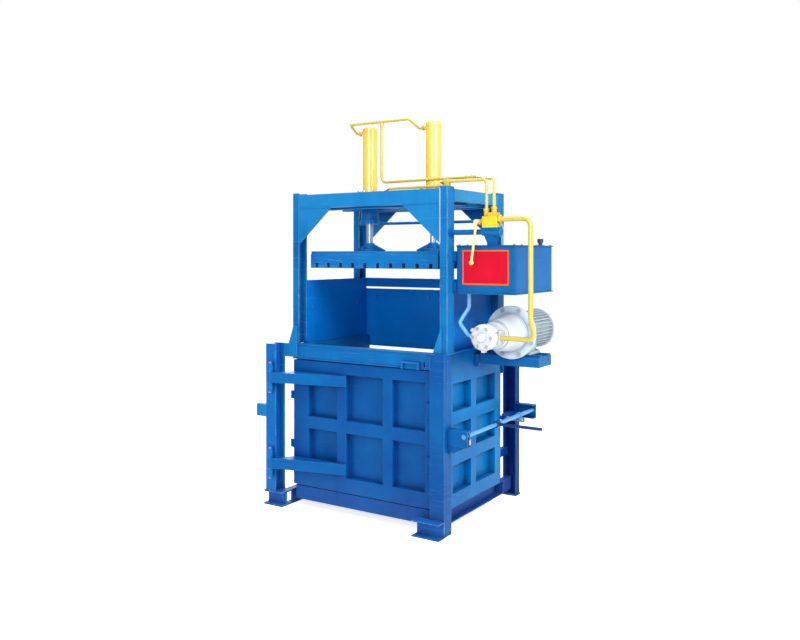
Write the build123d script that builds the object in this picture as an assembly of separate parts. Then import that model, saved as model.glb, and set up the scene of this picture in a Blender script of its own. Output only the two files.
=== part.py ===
from build123d import *
import os
from math import cos, radians, sin, sqrt

# Vertical two-cylinder hydraulic baler, in millimetres. X runs right along the front, Y back
# and Z up. The shapes are drawn about the point on the ground under the cylinders, and the
# last section moves the whole machine so that its outline is centred over the origin.

# Steel sections and the portal frame
leg_projection = 27
leg_proud = 12
beam_height = 85
leg_depth = 82
flange_width = 48
steel_gauge = 6
gusset_run = 258
gusset_drop = 230
gusset_gauge = 8
tie_rod_radius = 10
tie_rod_drop = 80

# Bale box, doors and feed opening
box_width = 1080
box_length = 690
box_top = 1030
base_bottom = 45
base_height = 85
floor_gauge = 10
wall_rib_depth = 48
wall_rib_width = 65
wall_rib_setback = 225
wall_pocket_height = 164
header_height = 95
header_lug_width = 120
header_lug_height = 42
rear_header_drop = 105
hopper_height = 404
hopper_slot_height = 13
hopper_rail_height = 62
hopper_gap = 29
panel_bolt_inset = 40
panel_bolt_rise = 230
rear_bolt_rise = 275
door_depth = 48
door_stile_width = 121
door_rib_width = 70
door_rail_height = 76
door_lock_stile = 40
door_edge_inset = 80
door_gap = 2

# Hinges, posts and feet
hinge_forward = 113
hinge_left_of_leg = 93
hinge_pin_radius = 11
hinge_eye_radius = 19
hinge_eye_height = 66
knuckle_height = 58
arm_height = 66
arm_low_centre = 278
arm_high_drop = 108
post_width = 79
post_depth = 94
post_gap = 69
foot_height = 92
lock_post_width = 95
lock_post_depth = 78
rear_post_width = 92
rear_post_distance = 127
rear_post_depth = 63
stay_width = 36
low_stay_bottom = 270
low_stay_height = 48
stub_length = 80
stub_height = 78
gusset_rise = 117
gusset_fall = 85

# Press and cylinders
platen_height = 106
platen_lift = 80
platen_to_beam = 273
platen_side_gap = 16
platen_end_gap = 10
strap_groove_count = 10
strap_groove_width = 25
strap_groove_depth = 32
cylinder_spacing = 486
cylinder_radius = 51
cylinder_bore = 42
cylinder_rise = 455
cylinder_drop = 93
cylinder_cap = 25
gland_length = 45
piston_length = 40
rod_radius = 21
rod_foot_radius = 58
foot_plate = 16
foot_socket = 38
foot_rib_reach = 62
seat_gauge = 14
seat_width = 210

# Hydraulic tank, motor and pump
tank_width = 367
tank_length = 533
tank_height = 277
tank_clearance = 80
tank_front = -310
tank_wall = 5
sign_side = 40
sign_margin = 75
sign_drop = 27
sign_foot = 52
motor_reach = 213
motor_rise = 107
flange_radius = 158
flange_thickness = 20
motor_radius = 98
fin_height = 14
fin_count = 32
motor_length = 375
cowl_lap = 10
cowl_length = 108
bell_radius = 108
bell_taper = 14
bell_length = 190
pump_radius = 78
pump_length = 185
rail_gauge = 10
bracket_depth_z = 70
bracket_length = 200
bracket_reach = 384
rotor_shaft_radius = 14

# Valve and pipes
arm_rise = 73
arm_radius = 15
pedestal_width = 60
valve_reach = 255
valve_y = -350
valve_length = 92
valve_depth = 52
valve_height = 62
lever_length = 228
pressure_pipe_radius = 14
thin_pipe_radius = 9
suction_radius = 12
union_lap = 5
clamp_width = 24

# Door lock
lock_reach = 105
lock_z = 575
lock_shaft_radius = 12
lock_crank = 33
lock_turn = 55
lock_handle_y = 30
lock_handle_length = 290
bolt_radius = 12
bracket_height = 92

# Clearances
running_gap = 1.0
bearing_gap = 0.05

# Places that follow from the sizes above
frame_width = box_width + 2 * leg_projection
half_x = frame_width / 2
box_x = box_width / 2
box_y = box_length / 2
base_top = base_bottom + base_height
wall_inner_x = box_x - wall_rib_depth - steel_gauge
door_inner_y = box_y + door_gap
front_y = door_inner_y + door_depth
door_mid_y = (door_inner_y + front_y) / 2
rear_header_top = box_top - rear_header_drop
hopper_top = box_top + hopper_height
platen_rest_bottom = hopper_top + platen_lift
platen_top = platen_rest_bottom + platen_height
beam_bottom = platen_top + platen_to_beam
beam_top = beam_bottom + beam_height
leg_top = beam_top + leg_proud
header_bottom = box_top - header_height
door_bottom = base_top + 5
door_top = header_bottom - 7
rear_door_top = rear_header_top - header_height - 7
platen_x = wall_inner_x - platen_side_gap
platen_y = box_y - platen_end_gap
cylinder_x = cylinder_spacing / 2
cylinder_top = beam_top + cylinder_rise
cylinder_bottom = beam_bottom - cylinder_drop
leg_inner_x = half_x - flange_width
rear_leg_y = box_y - leg_depth
post_right_x = half_x + post_gap
post_left_x = post_right_x + post_width
post_front_y = front_y + post_depth - 3
hinge_x = half_x + hinge_left_of_leg
hinge_y = front_y + hinge_forward
door_left_edge = -half_x + 7
door_right_edge = box_x - door_edge_inset
lock_post_left = door_right_edge + 12
lock_post_right = lock_post_left + lock_post_width
lock_post_front = box_y + lock_post_depth + 7
rear_post_front = front_y + rear_post_distance
rear_post_back = rear_post_front + rear_post_depth
tank_left = half_x + 13
tank_right = tank_left + tank_width
tank_back = tank_front + tank_length
motor_x = half_x + motor_reach
motor_z = box_top + motor_rise
tank_bottom = motor_z + flange_radius + tank_clearance
tank_top = tank_bottom + tank_height
arm_z = tank_top + arm_rise
valve_x = half_x + valve_reach
lock_x = half_x + lock_reach
flange_front = -flange_thickness / 2
flange_back = flange_thickness / 2
motor_back = flange_back + motor_length
bell_front = flange_front - bell_length
pump_front = bell_front - pump_length
cowl_radius = motor_radius + fin_height + cowl_lap
foot_drop = cowl_radius + rail_gauge
bracket_top = motor_z - foot_drop
half_turn = radians(lock_turn / 2)
bolt_z = lock_z - lock_crank

pieces = {}


def save(name, *items):
    """Keep one node. Several solids stay separate bodies in it."""
    solids = []
    for item in items:
        solids.extend(item.solids())
    pieces[name] = solids


def block(x0, x1, y0, y1, z0, z1):
    """Box between two limits on each axis, given in either order."""
    size = Box(abs(x1 - x0), abs(y1 - y0), abs(z1 - z0))
    return Pos((x0 + x1) / 2, (y0 + y1) / 2, (z0 + z1) / 2) * size


def bar(start, end, radius, bore=0):
    """Round bar, or a tube if a bore is given, between two points."""
    a = Vector(*start)
    b = Vector(*end)
    face = Plane(origin=a, z_dir=(b - a).normalized()) * Circle(radius)
    if bore:
        face = face - Plane(origin=a, z_dir=(b - a).normalized()) * Circle(bore)
    return extrude(face, amount=(b - a).length, dir=(b - a).normalized())


def flat_bar(points, axis, start, end):
    """Plate with a polygon outline, between two planes across the named axis."""
    low = min(start, end)
    if axis == "x":
        corners = [(low, p, q) for p, q in points]
        way = (1, 0, 0)
    elif axis == "y":
        corners = [(p, low, q) for p, q in points]
        way = (0, 1, 0)
    else:
        corners = [(p, q, low) for p, q in points]
        way = (0, 0, 1)
    return extrude(make_face(Polyline(*corners, close=True)), amount=abs(end - start), dir=way)


def channel(along, start, end, web, open_edge, low, high):
    """Rolled channel: a web with two flanges, drawn as one profile and extruded."""
    g = steel_gauge if open_edge > web else -steel_gauge
    points = [(web, low), (open_edge, low), (open_edge, low + steel_gauge), (web + g, low + steel_gauge),
              (web + g, high - steel_gauge), (open_edge, high - steel_gauge), (open_edge, high), (web, high)]
    if along == "z_web_x":
        return flat_bar(points, "z", start, end)
    if along == "z_web_y":
        return flat_bar([(q, p) for p, q in points], "z", start, end)
    return flat_bar(points, along, start, end)


def pipe(points, bend, radius):
    """Round pipe along a run of points, with a rounded bend at each corner."""
    line = FilletPolyline(*points, radius=bend)
    return sweep(Plane(origin=line @ 0, z_dir=line % 0) * Circle(radius), path=line)


def hex_head(centre, way, across, height):
    """Hexagon bolt head that stands on a face."""
    face = Plane(origin=centre, z_dir=way) * RegularPolygon(across / 2, 6, major_radius=False)
    return extrude(face, amount=height, dir=way)


def bolt_circle(centre, way, radius, count, across, height, first=0):
    """Bolt heads spaced evenly on a circle around an axis along Y or Z."""
    heads = []
    for k in range(count):
        angle = radians(first + 360 * k / count)
        u = radius * cos(angle)
        v = radius * sin(angle)
        offset = (u, v, 0) if way[2] else (u, 0, v)
        place = (centre[0] + offset[0], centre[1] + offset[1], centre[2] + offset[2])
        heads.append(hex_head(place, way, across, height))
    return heads


# Portal frame: four channel legs with the web outside, gussets in both upper corners
front_legs = []
rear_legs = []
side_beams = []
gussets = []
for side in (-1, 1):
    front_legs.append(channel("z_web_x", box_top, leg_top, side * half_x, side * leg_inner_x,
                              -front_y, -front_y + leg_depth))
    rear_legs.append(channel("z_web_x", box_top, leg_top, side * half_x, side * leg_inner_x,
                             rear_leg_y, box_y))
    side_beams.append(channel("y", -front_y + leg_depth, rear_leg_y, side * half_x, side * leg_inner_x,
                              beam_bottom + 2 * gusset_gauge, beam_top))
    corner = side * leg_inner_x
    outline = [(corner, beam_bottom), (corner - side * gusset_run, beam_bottom),
               (corner, beam_bottom - gusset_drop)]
    for y in (-front_y, box_y - gusset_gauge):
        gussets.append(flat_bar(outline, "y", y, y + gusset_gauge))
save("front_legs", *front_legs)
save("rear_legs", *rear_legs)
save("side_beams", *side_beams)
save("portal_gussets", *gussets)

save("portal_beams",
     channel("x", -leg_inner_x, leg_inner_x, -front_y, -front_y + flange_width, beam_bottom, beam_top),
     channel("x", -leg_inner_x, leg_inner_x, box_y, box_y - flange_width, beam_bottom, beam_top))
tie_y = rear_leg_y + steel_gauge / 2
tie_z = beam_bottom - tie_rod_drop
save("rear_tie_rod", bar((-leg_inner_x, tie_y, tie_z), (leg_inner_x, tie_y, tie_z), tie_rod_radius))

# Two cross members carry the seat plates that the cylinders bolt to
cross_gap = cylinder_radius + 16
save("cylinder_crossbeams",
     channel("x", -leg_inner_x, leg_inner_x, -cross_gap, -cross_gap - flange_width, beam_bottom, beam_top),
     channel("x", -leg_inner_x, leg_inner_x, cross_gap, cross_gap + flange_width, beam_bottom, beam_top))
seat_top = beam_top + seat_gauge
seat_half = cross_gap + flange_width
seats = []
for side in (-1, 1):
    cx = side * cylinder_x
    seat = block(cx - seat_width / 2, cx + seat_width / 2, -seat_half, seat_half, beam_top, seat_top)
    seats.append(seat - bar((cx, 0, beam_top - 1), (cx, 0, seat_top + 1), cylinder_radius))
save("cylinder_seats", *seats)

# Cylinders: hollow barrels with a gland below and a cap above
collar_width = 15
port_boss = 12
port_z = cylinder_top - cylinder_cap - 6
barrels = []
collars = []
cylinder_bolts = []
for side in (-1, 1):
    cx = side * cylinder_x
    flange_top = seat_top + 16
    profile = Polyline((rod_radius + bearing_gap, cylinder_bottom), (cylinder_radius, cylinder_bottom),
                       (cylinder_radius, seat_top), (cylinder_radius + 36, seat_top),
                       (cylinder_radius + 36, flange_top), (cylinder_radius, flange_top),
                       (cylinder_radius, cylinder_top - 6), (cylinder_radius - 6, cylinder_top),
                       (0, cylinder_top), (0, cylinder_top - cylinder_cap),
                       (cylinder_bore, cylinder_top - cylinder_cap),
                       (cylinder_bore, cylinder_bottom + gland_length),
                       (rod_radius + bearing_gap, cylinder_bottom + gland_length), close=True)
    barrel = revolve(make_face(Plane.XZ * profile), Axis.Z)
    barrel = Pos(cx, 0, 0) * barrel
    boss = bar((cx - cylinder_radius - port_boss, 0, port_z), (cx - cylinder_bore - 2, 0, port_z), 15)
    barrels.append(barrel + boss)
    collar = bar((cx, 0, cylinder_bottom + 24), (cx, 0, beam_top), cylinder_radius + 7, cylinder_radius)
    collar = collar + bar((cx, 0, cylinder_bottom), (cx, 0, cylinder_bottom + 24),
                          cylinder_radius + collar_width, cylinder_radius)
    collars.append(collar)
    cylinder_bolts.extend(bolt_circle((cx, 0, flange_top), (0, 0, 1), cylinder_radius + 21, 6, 19, 12, 30))
save("cylinder_barrels", *barrels)
save("cylinder_collars", *collars)
save("cylinder_bolts", *cylinder_bolts)

# Piston rods stand on bolted feet; each foot has a socket and two ribs
rods = []
rod_feet = []
for side in (-1, 1):
    cx = side * cylinder_x
    piston_top = cylinder_top - cylinder_cap - 5
    rod = bar((cx, 0, platen_top + foot_plate), (cx, 0, piston_top - piston_length), rod_radius)
    rods.append(rod + bar((cx, 0, piston_top - piston_length), (cx, 0, piston_top),
                          cylinder_bore - bearing_gap))
    foot = bar((cx, 0, platen_top), (cx, 0, platen_top + foot_plate), rod_foot_radius)
    foot = foot + bar((cx, 0, platen_top + foot_plate), (cx, 0, platen_top + foot_plate + foot_socket),
                      rod_radius + 11, rod_radius)
    for way in (-1, 1):
        inner = cx + way * (rod_radius + 6)
        outer = cx + way * (rod_foot_radius + foot_rib_reach)
        outline = [(inner, platen_top), (outer, platen_top), (outer, platen_top + 10),
                   (inner, platen_top + foot_plate + foot_socket - 4)]
        foot = foot + flat_bar(outline, "y", -6, 6)
    foot = foot - bar((cx, 0, platen_top + foot_plate), (cx, 0, platen_top + 2 * foot_socket), rod_radius)
    for head in bolt_circle((cx, 0, platen_top + foot_plate), (0, 0, 1), rod_foot_radius - 12, 4, 17, 10, 45):
        foot = foot + head
    rod_feet.append(foot)
save("piston_rods", *rods)
save("rod_feet", *rod_feet)

# Press plate: a boxed body with strap grooves across the underside
groove_pitch = 2 * platen_x / strap_groove_count
shoulder = 7
band_height = 22
steps = [(-platen_y + shoulder, platen_top), (-platen_y + shoulder, platen_top - band_height + 8),
         (-platen_y, platen_top - band_height), (-platen_y, platen_rest_bottom)]
outline = steps + [(-y, z) for y, z in reversed(steps)]
platen = flat_bar(outline, "x", -platen_x, platen_x)
for k in range(strap_groove_count):
    gx = -platen_x + groove_pitch * (k + 0.5)
    platen = platen - block(gx - strap_groove_width / 2, gx + strap_groove_width / 2,
                            -platen_y - 1, platen_y + 1, platen_rest_bottom - 1,
                            platen_rest_bottom + strap_groove_depth)
plate_wall = 14
strip_half = rod_foot_radius + 12
cell_length = platen_y - plate_wall - shoulder - strip_half
cell_width = (2 * platen_x - 5 * plate_wall) / 4
for k in range(4):
    x0 = -platen_x + plate_wall + k * (cell_width + plate_wall)
    for way in (-1, 1):
        platen = platen - block(x0, x0 + cell_width, way * strip_half, way * (strip_half + cell_length),
                                platen_rest_bottom + strap_groove_depth + plate_wall, platen_top + 1)
save("press_plate", platen)

# Base: a ring of channels round the box, with the grooved floor plate on top
ring = []
for side in (-1, 1):
    ring.append(channel("y", -box_y, box_y, side * (box_x - flange_width), side * box_x, base_bottom,
                        base_top))
    ring.append(channel("x", -box_x + flange_width, box_x - flange_width, side * box_y,
                        side * (box_y - flange_width), base_bottom, base_top))
front_sill = channel("x", -box_x, lock_post_left - 3, -front_y, -box_y, base_bottom, base_top)
rear_sill = channel("x", -box_x, box_x, front_y, box_y, base_bottom, base_top)
sill_outer = -post_right_x + 7
sill_inner = sill_outer + flange_width
ground_sill = channel("y", -post_front_y + post_depth, post_front_y - post_depth, sill_inner, sill_outer,
                      0, foot_height)
ties = [block(sill_inner, -box_x, y - 30, y + 30, base_bottom, foot_height)
        for y in (-box_y + 90, box_y - 90)]
save("base_frame", front_sill, rear_sill, ground_sill, *ring, *ties)

floor = block(-wall_inner_x, wall_inner_x, -box_y, box_y, base_top, base_top + floor_gauge)
floor_notch = 4
for k in range(strap_groove_count):
    gx = -platen_x + groove_pitch * (k + 0.5)
    floor = floor - block(gx - strap_groove_width / 2, gx + strap_groove_width / 2, -box_y - 1, box_y + 1,
                          base_top + floor_gauge - floor_notch, base_top + floor_gauge + 1)
save("floor_plate", floor)

# Side walls: a plate behind ribs that frame two columns of three pockets
free_height = box_top - base_top - 3 * wall_pocket_height
row_bottoms = [base_top + 0.19 * free_height,
               base_top + 0.37 * free_height + wall_pocket_height,
               base_top + 0.55 * free_height + 2 * wall_pocket_height]
rib_start = -box_y + wall_rib_width + wall_rib_setback
columns = [(-box_y + wall_rib_width, rib_start), (rib_start + wall_rib_width, box_y - wall_rib_width - 10)]
for side, name in ((-1, "left"), (1, "right")):
    wall = block(side * box_x, side * wall_inner_x, -box_y, box_y, base_top, box_top)
    for low in row_bottoms:
        for y0, y1 in columns:
            wall = wall - block(side * (box_x - wall_rib_depth), side * (box_x + 1), y0, y1, low,
                                low + wall_pocket_height)
    save("side_wall_" + name, wall)

# Headers over both door openings, and the jamb beside the rear door
header = channel("x", -half_x, lock_post_left - 3, -front_y, -box_y, header_bottom, box_top)
lug_right = lock_post_left - 82
lug_left = lug_right - header_lug_width
lug_bottom = header_bottom - 2
lug_top = lug_bottom + header_lug_height
lug_wall = 10
lug = block(lug_left, lug_right, -front_y - 24, -front_y, lug_bottom, lug_top)
lug = lug - block(lug_left + lug_wall, lug_right - lug_wall, -front_y - 25, -front_y - steel_gauge,
                  lug_bottom - 1, lug_top - lug_wall + 2)
lug_slot = block(lug_right + 20, lug_right + 34, -front_y - 1, -front_y + steel_gauge + 1,
                 lug_bottom + 12, lug_top + 4)
save("front_header", header + lug - lug_slot)
jamb = channel("z_web_y", base_top, rear_header_top - header_height, box_y, front_y,
               door_right_edge + 9, box_x - 20)
bolt_bore = bar((door_right_edge, door_mid_y, bolt_z), (lock_x, door_mid_y, bolt_z),
                bolt_radius + running_gap)
save("rear_header", channel("x", -box_x, box_x, front_y, box_y, rear_header_top - header_height,
                            rear_header_top), jamb - bolt_bore)

# Feed panels between the legs
panel_x = leg_inner_x - steel_gauge
leg_back = -front_y + leg_depth
panels = []
for side in (-1, 1):
    sheet = block(side * panel_x, side * leg_inner_x, leg_back, box_y, box_top, hopper_top)
    for z in (box_top, hopper_top - steel_gauge):
        sheet = sheet + block(side * panel_x, side * half_x, leg_back, rear_leg_y, z, z + steel_gauge)
    panels.append(sheet)
save("feed_panels", *panels)
panel_y = box_y
panel_half = leg_inner_x + flange_width / 2
rail_bottom = hopper_top - hopper_rail_height
panel_bottom = rear_header_top + hopper_gap
panel_top = rail_bottom - hopper_slot_height
stiffener_depth = 24
rear_bolt_x = (-panel_x + 2 * panel_bolt_inset, 0, panel_x - 2 * panel_bolt_inset)
rear_panel = block(-panel_half, panel_half, panel_y, panel_y + steel_gauge, panel_bottom, panel_top)
for x in rear_bolt_x:
    rear_panel = rear_panel + block(x - 20, x + 20, panel_y + steel_gauge,
                                    panel_y + steel_gauge + stiffener_depth, panel_bottom, panel_top)
rear_rail = channel("x", -panel_half, panel_half, panel_y, panel_y + 36, rail_bottom, hopper_top)
save("rear_feed_panel", rear_panel, rear_rail)

frame_bolts = []
for x in rear_bolt_x:
    frame_bolts.append(hex_head((x, panel_y, box_top + rear_bolt_rise), (0, -1, 0), 17, 6))
for y in (leg_back + panel_bolt_inset, rear_leg_y - panel_bolt_inset):
    for side in (-1, 1):
        frame_bolts.append(hex_head((side * panel_x, y, box_top + panel_bolt_rise), (-side, 0, 0), 17, 6))
save("panel_bolts", *frame_bolts)


def door_leaf(sign, top):
    """Ribbed door leaf; sign is -1 for the front door and 1 for the rear one."""
    low_arm_top = arm_low_centre + arm_height / 2
    high_arm_bottom = top - arm_high_drop - arm_height / 2
    leaf = block(door_left_edge, door_right_edge, sign * door_inner_y, sign * front_y, door_bottom, top)
    stile = door_left_edge + door_stile_width
    span = (door_right_edge - door_lock_stile - stile - 2 * door_rib_width) / 3.2
    rib_one = stile + span
    rib_two = rib_one + door_rib_width + 1.2 * span
    bays = [(stile, rib_one, low_arm_top - 20, high_arm_bottom + 20),
            (rib_one + door_rib_width, rib_two, door_bottom + 90, top - 68),
            (rib_two + door_rib_width, door_right_edge - door_lock_stile, door_bottom + 90, top - 68)]
    rail_centre = door_bottom + 0.51 * (door_top - door_bottom)
    floor_y = door_inner_y + steel_gauge
    for x0, x1, low, high in bays:
        for z0, z1 in ((low, rail_centre - door_rail_height / 2), (rail_centre + door_rail_height / 2, high)):
            leaf = leaf - block(x0, x1, sign * floor_y, sign * (front_y + 1), z0, z1)
    keeper = bar((door_right_edge - 32, sign * door_mid_y, bolt_z),
                 (door_right_edge + 1, sign * door_mid_y, bolt_z), bolt_radius + running_gap)
    leaf = leaf - keeper
    for z in (0.42 * door_top, 0.755 * door_top):
        if z < top - 60:
            leaf = leaf + block(door_left_edge - 30, door_left_edge, sign * (front_y - 18),
                                sign * (front_y - 6), z - 26, z + 26)
        leaf = leaf + block(door_right_edge - 30, door_right_edge, sign * front_y, sign * (front_y + 10),
                            z - 45, z + 45)
    return leaf, rib_one + door_rib_width


# Doors hang on slanting arms whose eyes turn on pins held in the post knuckles
hinge_pins = []
knuckles = []
for sign, name, top in ((-1, "front", door_top), (1, "rear", rear_door_top)):
    leaf, arm_end = door_leaf(sign, top)
    save(name + "_door", leaf)
    arms = []
    pin_y = sign * hinge_y
    for centre in (arm_low_centre, top - arm_high_drop):
        z0 = centre - arm_height / 2
        z1 = centre + arm_height / 2
        outline = [(arm_end, sign * front_y), (arm_end, sign * (front_y + 8)),
                   (-hinge_x + 4, pin_y + sign * 14), (-hinge_x - 2, pin_y - sign * 14),
                   (-post_right_x + 10, sign * (post_front_y + 5)), (door_left_edge + 14, sign * front_y)]
        arm = flat_bar(outline, "z", z0, z1)
        arm = arm + bar((-hinge_x, pin_y, z0), (-hinge_x, pin_y, z1), hinge_eye_radius)
        arm = arm - bar((-hinge_x, pin_y, z0 - 1), (-hinge_x, pin_y, z1 + 1), hinge_pin_radius + bearing_gap)
        arms.append(arm)
        eye_low = centre - hinge_eye_height / 2 - running_gap
        eye_high = centre + hinge_eye_height / 2 + running_gap
        hinge_pins.append(bar((-hinge_x, pin_y, eye_low - knuckle_height - 6),
                              (-hinge_x, pin_y, eye_high + knuckle_height + 6), hinge_pin_radius))
        for k0, away in ((eye_low, -1), (eye_high, 1)):
            tip = k0 + away * knuckle_height
            neck = k0 + away * knuckle_height * 0.7
            shape = Polyline((hinge_pin_radius, k0), (hinge_eye_radius, k0), (hinge_eye_radius, neck),
                             (hinge_pin_radius + 4, tip), (hinge_pin_radius, tip), close=True)
            knuckle = Pos(-hinge_x, pin_y, 0) * revolve(make_face(Plane.XZ * shape), Axis.Z)
            tongue = block(-hinge_x - 9, -hinge_x + 9, sign * post_front_y,
                           sign * (hinge_y - hinge_pin_radius - 3), k0, neck)
            knuckles.append(knuckle + tongue)
    save(name + "_hinge_arms", *arms)
save("hinge_pins", *hinge_pins)
save("hinge_knuckles", *knuckles)

# Outer posts: rolled I-sections for the hinges, a box section and a channel for the lock
hinge_posts = []
feet = []
stubs = []
for sign in (-1, 1):
    half_w = post_width / 2
    mid_x = -post_left_x + half_w
    web_half = 4
    flange = 10
    y0 = post_front_y - post_depth
    section = [(mid_x - half_w, post_front_y), (mid_x + half_w, post_front_y),
               (mid_x + half_w, post_front_y - flange), (mid_x + web_half, post_front_y - flange),
               (mid_x + web_half, y0 + flange), (mid_x + half_w, y0 + flange), (mid_x + half_w, y0),
               (mid_x - half_w, y0), (mid_x - half_w, y0 + flange), (mid_x - web_half, y0 + flange),
               (mid_x - web_half, post_front_y - flange), (mid_x - half_w, post_front_y - flange)]
    hinge_posts.append(flat_bar([(x, sign * y) for x, y in section], "z", foot_height, box_top))
    foot_mid = post_front_y - post_depth / 2
    foot_section = [(y0, 0), (post_front_y, 0), (post_front_y, flange), (foot_mid + web_half, flange),
                    (foot_mid + web_half, foot_height - flange), (post_front_y, foot_height - flange),
                    (post_front_y, foot_height), (y0, foot_height), (y0, foot_height - flange),
                    (foot_mid - web_half, foot_height - flange), (foot_mid - web_half, flange), (y0, flange)]
    foot_outline = [(sign * y, z) for y, z in foot_section]
    feet.append(flat_bar(foot_outline, "x", -post_left_x - 16, -post_right_x + 55))
    stubs.append(channel("x", -post_left_x - stub_length, -post_left_x, sign * post_front_y,
                         sign * (post_front_y - 44), lock_z - 15, lock_z - 15 + stub_height))
save("hinge_posts", *hinge_posts)

lock_foot_front = -lock_post_front - 68
feet.append(channel("x", lock_post_left - 81, lock_post_right + 4, -lock_post_front, lock_foot_front,
                    0, foot_height))
rear_post_left = half_x - rear_post_width
sole_gauge = 8
feet.append(block(rear_post_left - 8, half_x + 6, rear_post_front - 6, rear_post_back + 6, 0, sole_gauge))
save("post_feet", *feet)

post = block(lock_post_left, lock_post_right, -lock_post_front, -box_y, 0, box_top)
post = post - block(lock_post_left + 7, lock_post_right - 7, -lock_post_front + 7, -box_y + 1,
                    foot_height + 20, box_top - 12)
post = post - bar((lock_post_left - 1, -door_mid_y, bolt_z), (lock_post_right + 1, -door_mid_y, bolt_z),
                  bolt_radius + running_gap)
save("lock_post_front", post)
save("lock_post_rear", channel("z_web_y", sole_gauge, box_top, rear_post_back, rear_post_front,
                               rear_post_left, half_x))

post_gussets = [flat_bar([(-half_x + 10, box_top + gusset_rise), (-half_x - 30, box_top),
                          (-post_right_x, box_top), (-post_right_x, box_top - gusset_fall),
                          (-half_x + 40, box_top - gusset_fall), (-half_x + 40, box_top + gusset_rise)],
                         "y", -front_y - gusset_gauge, -front_y)]
post_gussets.append(flat_bar([(leg_inner_x + 14, box_top + 162), (lock_post_left + 3, box_top),
                              (leg_inner_x + 14, box_top)], "y", -front_y - gusset_gauge, -front_y))
post_gussets.append(block(-post_right_x, -box_x + 12, front_y, front_y + gusset_gauge,
                          rear_header_top - 80, rear_header_top))
save("post_brackets", *post_gussets, *stubs)

# Stays from the rear lock post to the box, and the guide of the rear bolt
guide = block(box_x + 6, box_x + 30, door_mid_y - 20, door_mid_y + 20, bolt_z - 24, bolt_z + 22)
guide = guide + block(box_x - 10, box_x + 24, door_mid_y + 15, rear_post_front, bolt_z - 24, bolt_z + 22)
guide = guide - bar((box_x - 20, door_mid_y, bolt_z), (box_x + 60, door_mid_y, bolt_z),
                    bolt_radius + running_gap)
stays = [block(box_x - 40, box_x - 4, front_y, rear_post_front, base_bottom, base_top), guide]
high_stay_top = rear_header_top - 10
for low, high in ((low_stay_bottom, low_stay_bottom + low_stay_height),
                  (high_stay_top - low_stay_height, high_stay_top)):
    stays.append(block(rear_post_left, rear_post_left + stay_width, front_y, rear_post_front, low, high))
save("rear_post_stays", *stays)

# Door lock: one shaft turns two cranks, and each crank draws a bolt out of a door
lock_bracket_right = lock_x + 24
web_y = door_mid_y + bolt_radius + 10
bracket_low = lock_z - 60
shaft_hole = bar((lock_x, -web_y - 1, lock_z), (lock_x, rear_post_back + 20, lock_z),
                 lock_shaft_radius + bearing_gap)
front_bracket = channel("x", lock_post_right, lock_bracket_right, -web_y, -web_y + 60,
                        bracket_low, bracket_low + bracket_height)
brace = flat_bar([(lock_post_right, bracket_low), (lock_bracket_right - 16, bracket_low),
                  (lock_post_right, bracket_low - 46)], "y", -web_y + 4, -web_y + 12)
rear_bracket = channel("x", half_x, lock_bracket_right, rear_post_front + 44, rear_post_front,
                       bracket_low + 8, bracket_low + bracket_height + 8)
save("lock_brackets", front_bracket - shaft_hole, brace, rear_bracket - shaft_hole)

shaft_back = rear_post_front + 44 + 5
shaft = bar((lock_x, -web_y, lock_z), (lock_x, shaft_back, lock_z), lock_shaft_radius)
pin_x = lock_x + lock_crank * sin(half_turn)
pin_z = lock_z - lock_crank * cos(half_turn)
for sign in (-1, 1):
    near = sign * (door_mid_y - 26)
    far = sign * (door_mid_y - 18)
    shaft = shaft + bar((lock_x, near, lock_z), (lock_x, far, lock_z), lock_shaft_radius + 8)
    web = block(-9, 9, near, far, -lock_crank, 0)
    shaft = shaft + Pos(lock_x, 0, lock_z) * Rot(0, -lock_turn / 2, 0) * web
    shaft = shaft + bar((pin_x, near, pin_z), (pin_x, sign * (door_mid_y + 8), pin_z), 5)
save("lock_shaft", shaft)
handle = bar((lock_x + lock_shaft_radius, lock_handle_y, lock_z),
             (lock_x + lock_handle_length, lock_handle_y, lock_z), 10)
hub = bar((lock_x, lock_handle_y - 18, lock_z), (lock_x, lock_handle_y + 18, lock_z),
          lock_shaft_radius + 8, lock_shaft_radius)
save("lock_handle", hub + handle)

for sign, name in ((-1, "front"), (1, "rear")):
    tip = door_right_edge + 9
    tail = pin_x - 14
    bolt = bar((tip, sign * door_mid_y, bolt_z), (tail, sign * door_mid_y, bolt_z), bolt_radius)
    bolt = chamfer(bolt.edges().filter_by(GeomType.CIRCLE).group_by(Axis.X)[0], 3)
    yoke = block(tail - 4, pin_x + 14, sign * (door_mid_y - 9), sign * (door_mid_y + 9),
                 bolt_z - bolt_radius, bolt_z + bolt_radius + 4)
    slot = block(pin_x - 6.2, pin_x + 6.2, sign * (door_mid_y - 10), sign * (door_mid_y + 10),
                 bolt_z - 8, bolt_z + 12)
    save("lock_bolt_" + name, bolt + yoke - slot)

# Oil tank with a lid, a plain plate on its front and a breather
lid_edge = 6
tank_fold = 8
tank_middle = ((tank_left + tank_right) / 2, (tank_front + tank_back) / 2)
outer = RectangleRounded(tank_width, tank_length, tank_fold)
inner = RectangleRounded(tank_width - 2 * tank_wall, tank_length - 2 * tank_wall, tank_fold - tank_wall)
walls = extrude(outer - inner, amount=tank_height - 2 * steel_gauge, dir=(0, 0, 1))
tank = Pos(tank_middle[0], tank_middle[1], tank_bottom + steel_gauge) * walls
tank = tank + block(tank_left, tank_right + lid_edge, tank_front - lid_edge, tank_back + lid_edge,
                    tank_bottom, tank_bottom + steel_gauge)
pad_size = 50
front_pad_y = leg_back - pad_size / 3
low_pad_z = tank_bottom + 12
for y, z in ((front_pad_y, low_pad_z), (front_pad_y, tank_top - 90), (tank_back - 90, low_pad_z)):
    tank = tank + block(half_x, tank_left, y, y + pad_size, z, z + pad_size)
save("oil_tank", tank)
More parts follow.
